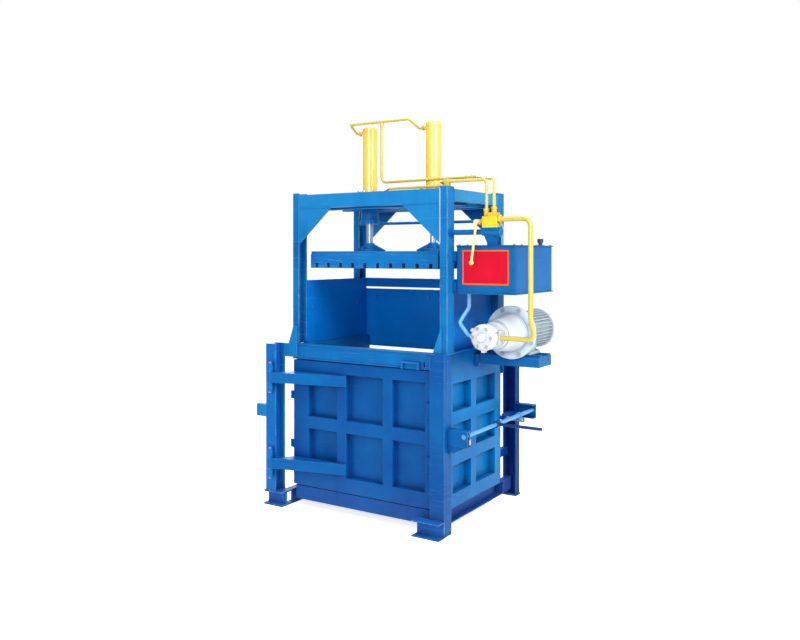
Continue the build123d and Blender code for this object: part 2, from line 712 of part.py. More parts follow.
save("tank_lid", block(tank_left, tank_right + lid_edge, tank_front - lid_edge, tank_back + lid_edge,
                       tank_top - steel_gauge, tank_top))
sign_left = tank_left + sign_side
sign_right = sign_left + tank_width - sign_margin
save("tank_plate", block(sign_left, sign_right, tank_front - 2.5, tank_front, tank_bottom + sign_foot,
                         tank_top - sign_drop))
breather_x = tank_right - 55
breather_y = tank_back - 50
neck_top = tank_top + 18
breather = bar((breather_x, breather_y, tank_top), (breather_x, breather_y, neck_top), 12)
breather = breather + bar((breather_x, breather_y, neck_top), (breather_x, breather_y, neck_top + 24), 18)
save("tank_breather", breather)

# Motor, with radial fins, a flange to the bell housing and a fan cowl
body = bar((motor_x, flange_back, motor_z), (motor_x, motor_back, motor_z), motor_radius, 66)
for k in range(fin_count):
    angle = 360 * k / fin_count
    if 235 < angle < 305:
        continue
    fin = block(motor_radius - 2, motor_radius + fin_height, flange_back + 22, motor_back - 14, -2, 2)
    body = body + Pos(motor_x, 0, motor_z) * Rot(0, -angle, 0) * fin
body = body + bar((motor_x, motor_back - 14, motor_z), (motor_x, motor_back, motor_z),
                  motor_radius + fin_height, rotor_shaft_radius + bearing_gap)
for side in (-1, 1):
    pad = block(motor_x + side * 60, motor_x + side * 106, flange_back + 24, bracket_length - 12,
                bracket_top, bracket_top + 14)
    stem = block(motor_x + side * 60, motor_x + side * 82, flange_back + 30, bracket_length - 18,
                 bracket_top + 14, motor_z - 62)
    stem = stem - bar((motor_x, 0, motor_z), (motor_x, bracket_length, motor_z), motor_radius - 1)
    body = body + pad + stem
save("motor_body", body)
save("motor_flange", bar((motor_x, flange_front, motor_z), (motor_x, flange_back, motor_z), flange_radius,
                          rotor_shaft_radius + bearing_gap))
cowl_back = motor_back + cowl_length
cowl = bar((motor_x, motor_back - 14, motor_z), (motor_x, cowl_back, motor_z), cowl_radius,
           motor_radius + fin_height)
cowl = cowl + bar((motor_x, cowl_back - 4, motor_z), (motor_x, cowl_back, motor_z), cowl_radius)
slit_pitch = 24
for row in range(-3, 4):
    reach = sqrt((cowl_radius - 20) ** 2 - (row * slit_pitch) ** 2)
    cowl = cowl - block(motor_x - reach, motor_x + reach, cowl_back - 5, cowl_back + 1,
                        motor_z + row * slit_pitch - 6, motor_z + row * slit_pitch + 6)
save("motor_cowl", cowl)
rotor = bar((motor_x, bell_front + 30, motor_z), (motor_x, motor_back + 62, motor_z), rotor_shaft_radius)
rotor = rotor + bar((motor_x, flange_back + 50, motor_z), (motor_x, motor_back - 60, motor_z), 60)
rotor = rotor + bar((motor_x, bell_front + 60, motor_z), (motor_x, flange_front - 30, motor_z), 38)
rotor = rotor + bar((motor_x, motor_back + 26, motor_z), (motor_x, motor_back + 56, motor_z), 30)
for k in range(7):
    blade = block(26, cowl_radius - 24, motor_back + 28, motor_back + 54, -2, 2)
    rotor = rotor + Pos(motor_x, 0, motor_z) * Rot(0, -360 * k / 7, 0) * blade
save("motor_rotor", rotor)

# Bell housing and gear pump in front of the flange
bell_wall = 14
bell_nose = bell_radius - bell_taper
bell_front_wall = 16
bell_profile = Polyline((bell_radius - bell_wall, 0), (bell_radius, 0), (bell_radius, 24),
                        (bell_nose, bell_length - 26), (bell_nose - 12, bell_length), (30, bell_length),
                        (30, bell_length - bell_front_wall),
                        (bell_nose - bell_wall, bell_length - bell_front_wall), close=True)
bell = revolve(make_face(Plane.XY * bell_profile), Axis.Y)
bell = Pos(motor_x, flange_front, motor_z) * Rot(180, 0, 0) * bell
save("bell_housing", bell)
nose = 54
waist = pump_radius - 14
pump_profile = Polyline((0, 0), (pump_radius, 0), (pump_radius, 34), (waist, 44),
                        (waist, pump_length - nose - 10), (pump_radius - 4, pump_length - nose),
                        (pump_radius - 4, pump_length - 16), (pump_radius - 18, pump_length),
                        (26, pump_length), (22, pump_length + 12), (0, pump_length + 12), close=True)
pump = revolve(make_face(Plane.XY * pump_profile), Axis.Y)
pump = Pos(motor_x, bell_front, motor_z) * Rot(180, 0, 0) * pump
port_y = bell_front - pump_length / 2 - 6
port_half = 30
pump = pump + block(motor_x - pump_radius, motor_x + pump_radius, port_y - port_half, port_y + port_half,
                    motor_z - 38, motor_z + 38)
for turn in range(3):
    ear = block(-9, 9, -pump_length + 12, -pump_length + nose - 6, 0, pump_radius + 6)
    pump = pump + Pos(motor_x, bell_front, motor_z) * Rot(0, 60 + 120 * turn, 0) * ear
save("oil_pump", pump)
motor_bolts = bolt_circle((motor_x, flange_front, motor_z), (0, -1, 0), flange_radius - 17, 8, 19, 10, 22.5)
motor_bolts.extend(bolt_circle((motor_x, pump_front, motor_z), (0, -1, 0), pump_radius - 20, 6, 15, 9))
for side in (-1, 1):
    for y in (flange_back + 44, bracket_length - 30):
        motor_bolts.append(hex_head((motor_x + side * 94, y, bracket_top + 14), (0, 0, 1), 17, 9))
save("motor_bolts", *motor_bolts)

bracket_front = flange_back + 3
bracket_end = half_x + bracket_reach
deck = bracket_top - rail_gauge
bracket_bottom = bracket_top - bracket_depth_z
bracket = channel("y", bracket_front, bracket_length, half_x, bracket_end, bracket_bottom, deck)
for y in (bracket_front, bracket_length - steel_gauge):
    bracket = bracket + block(half_x + steel_gauge, bracket_end, y, y + steel_gauge,
                              bracket_bottom + steel_gauge, deck - steel_gauge)
bracket = bracket + block(bracket_end - steel_gauge, bracket_end, bracket_front, bracket_length,
                          bracket_bottom + steel_gauge, deck - steel_gauge)
for y in (flange_back + 24, bracket_length - 42):
    bracket = bracket + block(half_x + 40, bracket_end, y, y + 30, deck, bracket_top)
back_plate = block(box_x, half_x, -10, bracket_length + 10, bracket_bottom - 14, deck)
save("motor_bracket", bracket + back_plate)

# Valve on its arm, with the hand lever
arm_end = valve_x + 62
arm = bar((half_x, valve_y, arm_z), (arm_end, valve_y, arm_z), arm_radius)
arm = arm + bar((arm_end - 114, valve_y, arm_z), (arm_end, valve_y, arm_z), arm_radius + 6)
arm = arm + bar((half_x, valve_y, arm_z), (half_x + 8, valve_y, arm_z), arm_radius + 10)
arm = arm + block(valve_x - 50, valve_x + 50, valve_y - 22, valve_y + 22, arm_z + 12, arm_z + 24)
pedestal = flat_bar([(tank_front, tank_top), (tank_front + 62, tank_top), (tank_front + 62, tank_top + 34),
                     (valve_y + 4, arm_z + 12), (valve_y - 12, arm_z - 4), (tank_front, tank_top + 12)],
                    "x", valve_x - 16 - pedestal_width / 2, valve_x - 16 + pedestal_width / 2)
save("valve_arm", arm + pedestal)
valve_z = arm_z + 24
inlet_z = valve_z + 46
spool_z = valve_z + 32
valve = block(valve_x - valve_length / 2, valve_x + valve_length / 2, valve_y - valve_depth / 2,
              valve_y + valve_depth / 2, valve_z, valve_z + valve_height)
valve = fillet(valve.edges().filter_by(Axis.Z), 6)
valve = valve + block(valve_x - 14, valve_x + 44, valve_y - 20, valve_y + 20, valve_z + valve_height,
                      valve_z + valve_height + 20)
port_tops = ((-28, 88), (18, 98))
for dx, rise in port_tops:
    valve = valve + bar((valve_x + dx, valve_y, valve_z + 50), (valve_x + dx, valve_y, valve_z + rise), 15)
valve = valve + bar((valve_x + 40, valve_y, inlet_z), (valve_x + 62, valve_y, inlet_z), 19)
valve = valve + bar((valve_x - 60, valve_y, spool_z), (valve_x - 40, valve_y, spool_z), 17)
lever_x = valve_x - 78
lug_front = valve_y - 18
pivot_radius = 6
lug = block(lever_x - 14, valve_x - 58, lug_front, valve_y + 18, spool_z - 15, spool_z + 15)
lug = lug - bar((lever_x, lug_front - 1, spool_z), (lever_x, valve_y + 19, spool_z),
                pivot_radius + bearing_gap)
save("control_valve", valve + lug)
lever_y = lug_front - running_gap - 9
lever = bar((lever_x, lever_y, spool_z), (lever_x, valve_y + 18, spool_z), pivot_radius)
lever = lever + bar((lever_x, lever_y - 9, spool_z), (lever_x, lug_front - running_gap, spool_z), 14)
lever_foot = (lever_x - 26, lever_y - 12, spool_z - lever_length)
lever = lever + bar((lever_x, lever_y, spool_z), lever_foot, 7) + Pos(*lever_foot) * Sphere(13)
save("valve_lever", lever)

# Pipes: straight runs with rounded bends
port_x = motor_x + pump_radius
riser_x = tank_right + 112
riser_start = (motor_z + tank_bottom) / 2
save("pressure_pipe", pipe([(port_x, port_y, motor_z - 4), (riser_x, port_y, motor_z - 4),
                            (riser_x, valve_y, riser_start), (riser_x, valve_y, inlet_z),
                            (valve_x + 62, valve_y, inlet_z)], 44, pressure_pipe_radius))
tee_x = -98
tee_y = -cylinder_radius - 24
upper_run_z = beam_top + 85
top_z = cylinder_top + 20
upper_dx, upper_rise = port_tops[1]
upper = pipe([(valve_x + upper_dx, valve_y, valve_z + upper_rise),
              (valve_x + upper_dx, valve_y, beam_top + 40),
              (half_x + 40, valve_y + 240, upper_run_z), (tee_x, tee_y, upper_run_z),
              (tee_x, tee_y, top_z)], 36, thin_pipe_radius)
left_port = -cylinder_x - cylinder_radius - port_boss
right_port = cylinder_x - cylinder_radius - port_boss
cross = pipe([(left_port, 0, port_z), (left_port - 40, 0, port_z), (left_port - 40, tee_y, top_z),
              (right_port - 70, tee_y, top_z), (right_port - 40, 0, port_z), (right_port, 0, port_z)],
             14, thin_pipe_radius)
save("upper_pipe", upper + cross)
lower_run_z = beam_top + 40
drop_x = -cylinder_x + seat_width / 2 + thin_pipe_radius + 4
run_y = -cylinder_radius - 36 - thin_pipe_radius - 10
low_z = beam_bottom + 20
lower_dx, lower_rise = port_tops[0]
lower = pipe([(valve_x + lower_dx, valve_y, valve_z + lower_rise),
              (valve_x + lower_dx, valve_y, lower_run_z),
              (leg_inner_x - 16, valve_y, lower_run_z), (leg_inner_x - 120, run_y, lower_run_z),
              (drop_x + 110, run_y, lower_run_z), (drop_x, 0, lower_run_z), (drop_x, 0, low_z)],
             26, thin_pipe_radius)
reach = cylinder_x - cylinder_radius - 7
save("lower_pipe", lower + bar((-reach, 0, low_z), (reach, 0, low_z), thin_pipe_radius))
union = thin_pipe_radius + union_lap
fittings = [bar((tee_x, tee_y, top_z - 28), (tee_x, tee_y, top_z - 10), union, thin_pipe_radius)]
for x in (left_port - 16, right_port - 16):
    fittings.append(bar((x, 0, port_z), (x + 16, 0, port_z), union, thin_pipe_radius))
for dx, rise in port_tops:
    fittings.append(bar((valve_x + dx, valve_y, valve_z + rise), (valve_x + dx, valve_y, valve_z + rise + 20),
                        union, thin_pipe_radius))
clamp_x = (leg_inner_x + half_x) / 2
clamp = block(clamp_x - clamp_width / 2, clamp_x + clamp_width / 2, valve_y - 18, valve_y + 18, leg_top,
              lower_run_z + thin_pipe_radius + 5)
fittings.append(clamp - bar((clamp_x - clamp_width, valve_y, lower_run_z), (half_x, valve_y, lower_run_z),
                            thin_pipe_radius))
save("pipe_nuts", *fittings)
suction_end = (tank_left + 60, tank_front + 40, tank_bottom)
suction = pipe([(motor_x - pump_radius, port_y, motor_z), (motor_x - pump_radius - 50, port_y, motor_z),
                (half_x + 26, port_y, motor_z + 70), (suction_end[0], suction_end[1], tank_bottom - 80),
                suction_end], 22, suction_radius)
back_y = tank_front + 40
drain_x = valve_x + 29
drain = pipe([(drain_x, valve_y + valve_depth / 2, valve_z + 16), (drain_x, back_y, valve_z + 16),
              (drain_x, back_y, tank_top)], 18, thin_pipe_radius)
save("tank_pipes", suction, drain)

# The machine stands with the middle of its outline over the origin, to the nearest millimetre
low_corner = Vector(0, 0, 0)
high_corner = Vector(0, 0, 0)
for solids in pieces.values():
    for solid in solids:
        limits = solid.bounding_box()
        low_corner = Vector(min(low_corner.X, limits.min.X), min(low_corner.Y, limits.min.Y), 0)
        high_corner = Vector(max(high_corner.X, limits.max.X), max(high_corner.Y, limits.max.Y), 0)
middle = (low_corner + high_corner) * 0.5
centred = Pos(-round(middle.X), -round(middle.Y), 0)
os.makedirs("parts", exist_ok=True)
for name, solids in pieces.items():
    placed = [centred * solid for solid in solids]
    shape = placed[0] if len(placed) == 1 else Compound(children=placed)
    export_step(shape, "parts/" + name + ".step")
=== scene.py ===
import bpy
import bmesh
import math
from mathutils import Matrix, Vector


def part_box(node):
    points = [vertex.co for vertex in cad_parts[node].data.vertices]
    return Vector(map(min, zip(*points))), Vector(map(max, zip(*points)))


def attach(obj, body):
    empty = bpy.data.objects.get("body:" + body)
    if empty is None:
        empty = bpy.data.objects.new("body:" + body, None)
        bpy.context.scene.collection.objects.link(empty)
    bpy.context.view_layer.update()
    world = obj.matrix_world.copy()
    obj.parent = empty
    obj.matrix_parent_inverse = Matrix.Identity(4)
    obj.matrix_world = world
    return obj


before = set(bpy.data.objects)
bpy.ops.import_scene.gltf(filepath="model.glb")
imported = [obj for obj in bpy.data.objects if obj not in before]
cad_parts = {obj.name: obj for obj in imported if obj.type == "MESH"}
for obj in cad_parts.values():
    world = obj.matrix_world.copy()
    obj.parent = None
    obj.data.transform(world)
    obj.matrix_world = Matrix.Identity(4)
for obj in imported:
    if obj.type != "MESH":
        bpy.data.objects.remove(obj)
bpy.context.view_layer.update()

# Bale box: plate walls stiffened by a grid of ribs, with channel headers over both doors.
# The ribs are welded in all round, and the box is sprayed in one coat of glossy blue enamel,
# darkened in its corners by grime and painted shade, and lightened on its edges by rubbed wear and painted
# highlight.


def add_node(tree, kind, **settings):
    """One shader node, with its inputs set by name."""
    made = tree.nodes.new(kind)
    for key, value in settings.items():
        name = key.replace("_", " ")
        if name in made.inputs:
            made.inputs[name].default_value = value
        else:
            setattr(made, key, value)
    return made


def new_group(name, inputs, outputs):
    """An empty shader node group with named sockets."""
    group = bpy.data.node_groups.new(name, "ShaderNodeTree")
    for label, kind, value in inputs:
        socket = group.interface.new_socket(label, in_out="INPUT", socket_type=kind)
        socket.default_value = value
    for label, kind in outputs:
        group.interface.new_socket(label, in_out="OUTPUT", socket_type=kind)
    group.nodes.new("NodeGroupInput")
    group.nodes.new("NodeGroupOutput")
    return group


def blend_colors(group, amount, first, second):
    """A colour mix between two sockets by a mask."""
    mixed = add_node(group, "ShaderNodeMix", data_type="RGBA")
    group.links.new(amount, mixed.inputs["Factor"])
    group.links.new(first, mixed.inputs["A"])
    group.links.new(second, mixed.inputs["B"])
    return mixed.outputs["Result"]


def scaled(group, value, from_min, from_max, to_min=0.0, to_max=1.0):
    """A value brought from one range to another."""
    ranged = add_node(group, "ShaderNodeMapRange", From_Min=from_min, From_Max=from_max, To_Min=to_min,
                      To_Max=to_max)
    group.links.new(value, ranged.inputs["Value"])
    return ranged.outputs["Result"]


def product(group, first, second):
    """Two values multiplied."""
    times = add_node(group, "ShaderNodeMath", operation="MULTIPLY")
    group.links.new(first, times.inputs[0])
    group.links.new(second, times.inputs[1])
    return times.outputs["Value"]


def build_enamel_group():
    """Enamel on steel: drifting tone, thin runs, orange peel, scuffs and dust, with corners darkened by grime
    and painted shade and edges lightened by wear and painted highlight.
    """
    blue = (0.01, 0.13, 0.5, 1)
    group = new_group(
        "enamel_on_steel",
        [("Paint", "NodeSocketColor", blue), ("Deep", "NodeSocketColor", blue),
         ("Edge", "NodeSocketColor", (0.2, 0.35, 0.6, 1)),
         ("Grime And Shade Color", "NodeSocketColor", (0.01, 0.02, 0.05, 1)),
         ("Dust", "NodeSocketColor", (0.26, 0.25, 0.23, 1)), ("Edge Radius", "NodeSocketFloat", 0.004),
         ("Wear And Highlight", "NodeSocketFloat", 0.5), ("Scuffs", "NodeSocketFloat", 0.2),
         ("Grime And Shade Amount", "NodeSocketFloat", 0.6), ("Gloss", "NodeSocketFloat", 0.3),
         ("Relief", "NodeSocketFloat", 0.1), ("Wave", "NodeSocketFloat", 0.22)],
        [("Color", "NodeSocketColor"), ("Roughness", "NodeSocketFloat"), ("Normal", "NodeSocketVector")])
    source = group.nodes["Group Input"]
    sink = group.nodes["Group Output"]
    link = group.links.new
    place = add_node(group, "ShaderNodeTexCoord")
    drift = add_node(group, "ShaderNodeTexNoise", Scale=2.3, Detail=5.0, Roughness=0.6)
    blotch = add_node(group, "ShaderNodeTexNoise", Scale=14.0, Detail=6.0, Roughness=0.65)
    upright = add_node(group, "ShaderNodeMapping")
    upright.inputs["Scale"].default_value = (30.0, 30.0, 1.6)
    runs = add_node(group, "ShaderNodeTexNoise", Scale=1.0, Detail=4.0, Roughness=0.6)
    slanting = add_node(group, "ShaderNodeMapping")
    slanting.inputs["Rotation"].default_value = (0.35, 0.25, 0.2)
    slanting.inputs["Scale"].default_value = (5.0, 5.0, 150.0)
    scrapes = add_node(group, "ShaderNodeTexNoise", Scale=1.0, Detail=3.0, Roughness=0.55)
    peel = add_node(group, "ShaderNodeTexNoise", Scale=330.0, Detail=2.0, Roughness=0.5)
    wave = add_node(group, "ShaderNodeTexNoise", Scale=9.0, Detail=2.0, Roughness=0.4)
    for texture in (drift, blotch, peel, wave, upright, slanting):
        link(place.outputs["Object"], texture.inputs["Vector"])
    link(upright.outputs["Vector"], runs.inputs["Vector"])
    link(slanting.outputs["Vector"], scrapes.inputs["Vector"])

    tone = scaled(group, drift.outputs["Fac"], 0.35, 0.7)
    color = blend_colors(group, tone, source.outputs["Paint"], source.outputs["Deep"])
    streak = scaled(group, runs.outputs["Fac"], 0.52, 0.78, to_max=0.35)
    color = blend_colors(group, streak, color, source.outputs["Deep"])

    # Corners, gaps and recesses darken towards the grime colour through ambient occlusion: grime, and also
    # painted shade.
    corner = add_node(group, "ShaderNodeAmbientOcclusion", samples=6, Distance=0.045)
    shut = scaled(group, corner.outputs["AO"], 0.90, 0.40)
    grime_and_shade_mask = product(group, shut, scaled(group, blotch.outputs["Fac"], 0.25, 0.6, to_min=0.55))
    grime_and_shade_mask = product(group, grime_and_shade_mask, source.outputs["Grime And Shade Amount"])
    color = blend_colors(group, grime_and_shade_mask, color, source.outputs["Grime And Shade Color"])

    # Open edges turn towards the edge colour: rubbed wear, and also painted highlight along the edges.
    rounded = add_node(group, "ShaderNodeBevel", samples=4)
    link(source.outputs["Edge Radius"], rounded.inputs["Radius"])
    flat = add_node(group, "ShaderNodeNewGeometry")
    alike = add_node(group, "ShaderNodeVectorMath", operation="DOT_PRODUCT")
    link(rounded.outputs["Normal"], alike.inputs[0])
    link(flat.outputs["Normal"], alike.inputs[1])
    edge = scaled(group, alike.outputs["Value"], 0.985, 0.80)
    open_edge = product(group, edge, scaled(group, corner.outputs["AO"], 0.75, 0.95))
    edge_wear_and_highlight = product(group, open_edge, scaled(group, blotch.outputs["Fac"], 0.36, 0.60, to_min=0.12))
    edge_wear_and_highlight = product(group, edge_wear_and_highlight, source.outputs["Wear And Highlight"])
    color = blend_colors(group, edge_wear_and_highlight, color, source.outputs["Edge"])
    scuffed = scaled(group, scrapes.outputs["Fac"], 0.60, 0.70)
    scuffed = product(group, scuffed, scaled(group, drift.outputs["Fac"], 0.40, 0.60))
    scuffed = product(group, scuffed, source.outputs["Scuffs"])
    color = blend_colors(group, scuffed, color, source.outputs["Edge"])

    height = add_node(group, "ShaderNodeSeparateXYZ")
    link(place.outputs["Object"], height.inputs["Vector"])
    low = scaled(group, height.outputs["Z"], 0.26, 0.0, to_max=0.14)
    film = product(group, low, blotch.outputs["Fac"])
    color = blend_colors(group, film, color, source.outputs["Dust"])
    link(color, sink.inputs["Color"])

    dull = add_node(group, "ShaderNodeMath", operation="MULTIPLY_ADD")
    dull.inputs[1].default_value = 0.22
    link(blotch.outputs["Fac"], dull.inputs[0])
    link(source.outputs["Gloss"], dull.inputs[2])
    worn = add_node(group, "ShaderNodeMath", operation="MULTIPLY_ADD")
    worn.inputs[1].default_value = 0.35
    link(grime_and_shade_mask, worn.inputs[0])
    link(dull.outputs["Value"], worn.inputs[2])
    rough = add_node(group, "ShaderNodeMath", operation="ADD")
    link(worn.outputs["Value"], rough.inputs[0])
    link(film, rough.inputs[1])
    link(rough.outputs["Value"], sink.inputs["Roughness"])

    fine = add_node(group, "ShaderNodeBump", Distance=0.0006)
    link(source.outputs["Relief"], fine.inputs["Strength"])
    link(peel.outputs["Fac"], fine.inputs["Height"])
    link(rounded.outputs["Normal"], fine.inputs["Normal"])
    broad = add_node(group, "ShaderNodeBump", Distance=0.004)
    link(source.outputs["Wave"], broad.inputs["Strength"])
    link(wave.outputs["Fac"], broad.inputs["Height"])
    link(fine.outputs["Normal"], broad.inputs["Normal"])
    link(broad.outputs["Normal"], sink.inputs["Normal"])
    return group


enamel_group = build_enamel_group()


def enamel(name, paint, deep, edge, gloss=0.30, wear_and_highlight=0.5, radius=0.004, relief=0.15, grime_and_shade_amount=0.6,
           scuffs=0.15, shine=0.10, coat=0.03, grime_and_shade_color=None, wave=0.22):
    """A painted finish with its own colours. The colour for grime and painted shade is the deep tone
    darkened, unless it is given.
    """
    made = bpy.data.materials.new(name)
    made.use_nodes = True
    tree = made.node_tree
    shader = tree.nodes["Principled BSDF"]
    group = tree.nodes.new("ShaderNodeGroup")
    group.node_tree = enamel_group
    group.inputs["Paint"].default_value = (*paint, 1)
    group.inputs["Deep"].default_value = (*deep, 1)
    group.inputs["Edge"].default_value = (*edge, 1)
    grime_and_shade_tone = grime_and_shade_color or (deep[0] * 0.6 + 0.004, deep[1] * 0.22, deep[2] * 0.42)
    group.inputs["Grime And Shade Color"].default_value = (*grime_and_shade_tone, 1)
    group.inputs["Edge Radius"].default_value = radius
    group.inputs["Wear And Highlight"].default_value = wear_and_highlight
    group.inputs["Scuffs"].default_value = scuffs
    group.inputs["Grime And Shade Amount"].default_value = grime_and_shade_amount
    group.inputs["Gloss"].default_value = gloss
    group.inputs["Relief"].default_value = relief
    group.inputs["Wave"].default_value = wave
    for label, socket in (("Color", "Base Color"), ("Roughness", "Roughness"), ("Normal", "Normal")):
        tree.links.new(group.outputs[label], shader.inputs[socket])
    shader.inputs["Specular IOR Level"].default_value = shine
    shader.inputs["Coat Weight"].default_value = coat
    shader.inputs["Coat Roughness"].default_value = 0.15
    return made


def dress(material, *names):
    """Gives CAD nodes a finish in their own slots."""
    for name in names:
        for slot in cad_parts[name].material_slots:
            slot.material = material


def clear_selection():
    """Leaves nothing selected, so the next operator acts on its own piece only."""
    bpy.ops.object.select_all(action="DESELECT")


def set_in_place(piece, place, way):
    """Turns a piece made upright at the origin to face a way, moves it, and fixes that in its mesh."""
    piece.rotation_euler = Vector(way).to_track_quat("Z", "Y").to_euler()
    piece.location = place
    bpy.ops.object.transform_apply(location=True, rotation=True, scale=True)
    return piece


def one_piece(name, parts, material, body):
    """Joins like parts into one piece with one finish, riding on a body."""
    clear_selection()
    for part in parts:
        part.select_set(True)
    bpy.context.view_layer.objects.active = parts[0]
    if len(parts) > 1:
        bpy.ops.object.join()
    piece = bpy.context.object
    piece.name = name
    piece.data.name = name
    piece.data.materials.clear()
    piece.data.materials.append(material)
    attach(piece, body)
    return piece


def take_pattern():
    """Takes the piece just modelled off the floor and keeps its mesh, to be copied."""
    made = bpy.context.object
    pattern = made.data
    bpy.data.objects.remove(made)
    return pattern


def copy_in_place(pattern, place, way):
    """Copies a pattern, with a mesh of its own, and sets the copy in place."""
    clear_selection()
    piece = bpy.data.objects.new(pattern.name, pattern.copy())
    bpy.context.scene.collection.objects.link(piece)
    piece.select_set(True)
    bpy.context.view_layer.objects.active = piece
    return set_in_place(piece, place, way)


drop_pitch = 0.006
fewest_drops = 6
most_drops = 96
ripple = 0.13


def bead_pattern(length, width):
    """One pass of weld metal: a round bead, rippled where each drop froze over the last."""
    drops = min(most_drops, max(fewest_drops, round(length / drop_pitch)))
    clear_selection()
    bpy.ops.mesh.primitive_cylinder_add(vertices=7, radius=width / 2, depth=length, end_fill_type="TRIFAN")
    bead = bpy.context.object
    bpy.ops.object.mode_set(mode="EDIT")
    bpy.ops.mesh.select_mode(type="EDGE")
    bpy.ops.mesh.select_all(action="DESELECT")
    mesh = bmesh.from_edit_mesh(bead.data)
    for edge in mesh.edges:
        if abs(edge.verts[0].co.z - edge.verts[1].co.z) > length / 2:
            edge.select_set(True)
    bmesh.update_edit_mesh(bead.data)
    bpy.ops.mesh.subdivide(number_cuts=drops)
    bpy.ops.mesh.select_mode(type="VERT")
    bpy.ops.mesh.select_all(action="DESELECT")
    mesh = bmesh.from_edit_mesh(bead.data)
    for vert in mesh.verts:
        ring = round((vert.co.z / length + 0.5) * (drops + 1))
        if ring % 2 == 0:
            vert.select_set(True)
    bmesh.update_edit_mesh(bead.data)
    bpy.ops.transform.shrink_fatten(value=-width * ripple)
    bpy.ops.object.mode_set(mode="OBJECT")
    bpy.ops.object.shade_smooth()
    return take_pattern()


bead_patterns = {}


def weld_bead(start, end, width=0.006):
    """A bead laid between two points. Beads of one length and width are copies of the first."""
    way = Vector(end) - Vector(start)
    size = (round(way.length, 4), width)
    if size not in bead_patterns:
        bead_patterns[size] = bead_pattern(way.length, width)
    return copy_in_place(bead_patterns[size], (Vector(start) + Vector(end)) / 2, way)


def pocket_welds(facing, depth, low, high, bottom, top):
    """Four beads round the floor of a rib pocket that faces along x ("x") or y ("y")."""
    if facing == "x":
        corners = [(depth, low, bottom), (depth, high, bottom), (depth, high, top), (depth, low, top)]
    else:
        corners = [(low, depth, bottom), (high, depth, bottom), (high, depth, top), (low, depth, top)]
    return [weld_bead(corners[k], corners[(k + 1) % 4]) for k in range(4)]


box_blue = enamel("box_blue", (0.001, 0.21, 0.52), (0.0006, 0.12, 0.39), (0.08, 0.36, 0.66), grime_and_shade_amount=0.8)
# The headers' pale edge colour, laid on strongly, is painted highlight along their edges and lips.
header_blue = enamel("header_blue", (0.003, 0.18, 0.49), (0.001, 0.11, 0.39), (0.20, 0.52, 0.80), wear_and_highlight=0.9)
dress(box_blue, "side_wall_left", "side_wall_right")
dress(header_blue, "front_header", "rear_header")

rib_depth = 0.048
rib_width = 0.065
rear_rib_spare = 0.010
first_pocket = 0.225
pocket_height = 0.164
row_shares = (0.19, 0.37, 0.55)
box_welds = []
for side, name in ((1, "side_wall_right"), (-1, "side_wall_left")):
    low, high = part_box(name)
    skin = (high[0] if side > 0 else low[0]) - side * rib_depth
    spare = high[2] - low[2] - 3 * pocket_height
    front = low[1] + rib_width
    rear = front + first_pocket + rib_width
    for row, share in enumerate(row_shares):
        sole = low[2] + share * spare + row * pocket_height
        box_welds += pocket_welds("x", skin, front, front + first_pocket, sole, sole + pocket_height)
        end = high[1] - rib_width - rear_rib_spare
        box_welds += pocket_welds("x", skin, rear, end, sole, sole + pocket_height)
one_piece("wall_rib_welds", box_welds, box_blue, "frame")


def edge_lip(low, high, rounding):
    """A flat bar with rolled corners, filling the box between two points."""
    clear_selection()
    bpy.ops.mesh.primitive_cube_add(size=1, location=[(a + b) / 2 for a, b in zip(low, high)])
    bar = bpy.context.object
    bar.scale = [b - a for a, b in zip(low, high)]
    bpy.ops.object.transform_apply(location=True, rotation=True, scale=True)
    bpy.ops.object.mode_set(mode="EDIT")
    bpy.ops.mesh.select_all(action="SELECT")
    bpy.ops.mesh.bevel(offset=rounding, segments=3)
    bpy.ops.object.mode_set(mode="OBJECT")
    bpy.ops.object.shade_smooth_by_angle(angle=math.radians(40))
    return bar


header_low, header_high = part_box("front_header")
header_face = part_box("front_legs")[0][1]
header_curl = 0.002
header_sole = header_low[2] + header_curl
lug_length = 0.120
lug_end = 0.080
lip_proud = 0.006
lip_height = 0.007
lip_root = 0.001
lip_rounding = 0.002
lips = []
for sole, reach in ((header_high[2] - lip_height, header_high[0]),
                    (header_sole, header_high[0] - lug_end - lug_length)):
    lips.append(edge_lip((header_low[0], header_face - lip_proud, sole),
                         (reach, header_face + lip_root, sole + lip_height), lip_rounding))
one_piece("header_lips", lips, header_blue, "frame")

# Base: front and rear sills, cross ties and the ground sill on the left, all rolled channel.
# Its coat is the darkest blue of the machine, with a strong share of grime and painted shade in its corners.
sill_blue = enamel("sill_blue", (0.0006, 0.090, 0.37), (0.0004, 0.055, 0.27), (0.06, 0.30, 0.60), wear_and_highlight=0.7,
                   grime_and_shade_amount=0.8)
dress(sill_blue, "base_frame")

# Portal frame: channel legs, beams and triangular gussets, cut from rolled steel and welded
# flush at the front. The beads are dressed with a wire brush and painted over with the rest, except the
# upright bead at the front of the right gusset, which is painted pale blue as a painted highlight strip.
# The legs' pale edge colour at full strength is painted highlight down their flange edges.
leg_blue = enamel("leg_blue", (0.008, 0.20, 0.48), (0.001, 0.11, 0.37), (0.30, 0.58, 0.84), wear_and_highlight=1.0,
                  radius=0.007)
beam_blue = enamel("beam_blue", (0.016, 0.25, 0.57), (0.003, 0.16, 0.45), (0.20, 0.48, 0.74), wear_and_highlight=0.7)
# The side beams take a lighter copy of the beam blue, as painted light on their outer faces.
side_beam_lit_blue = enamel("side_beam_lit_blue", (0.04, 0.28, 0.54), (0.01, 0.22, 0.50), (0.24, 0.54, 0.78),
                        wear_and_highlight=0.6)
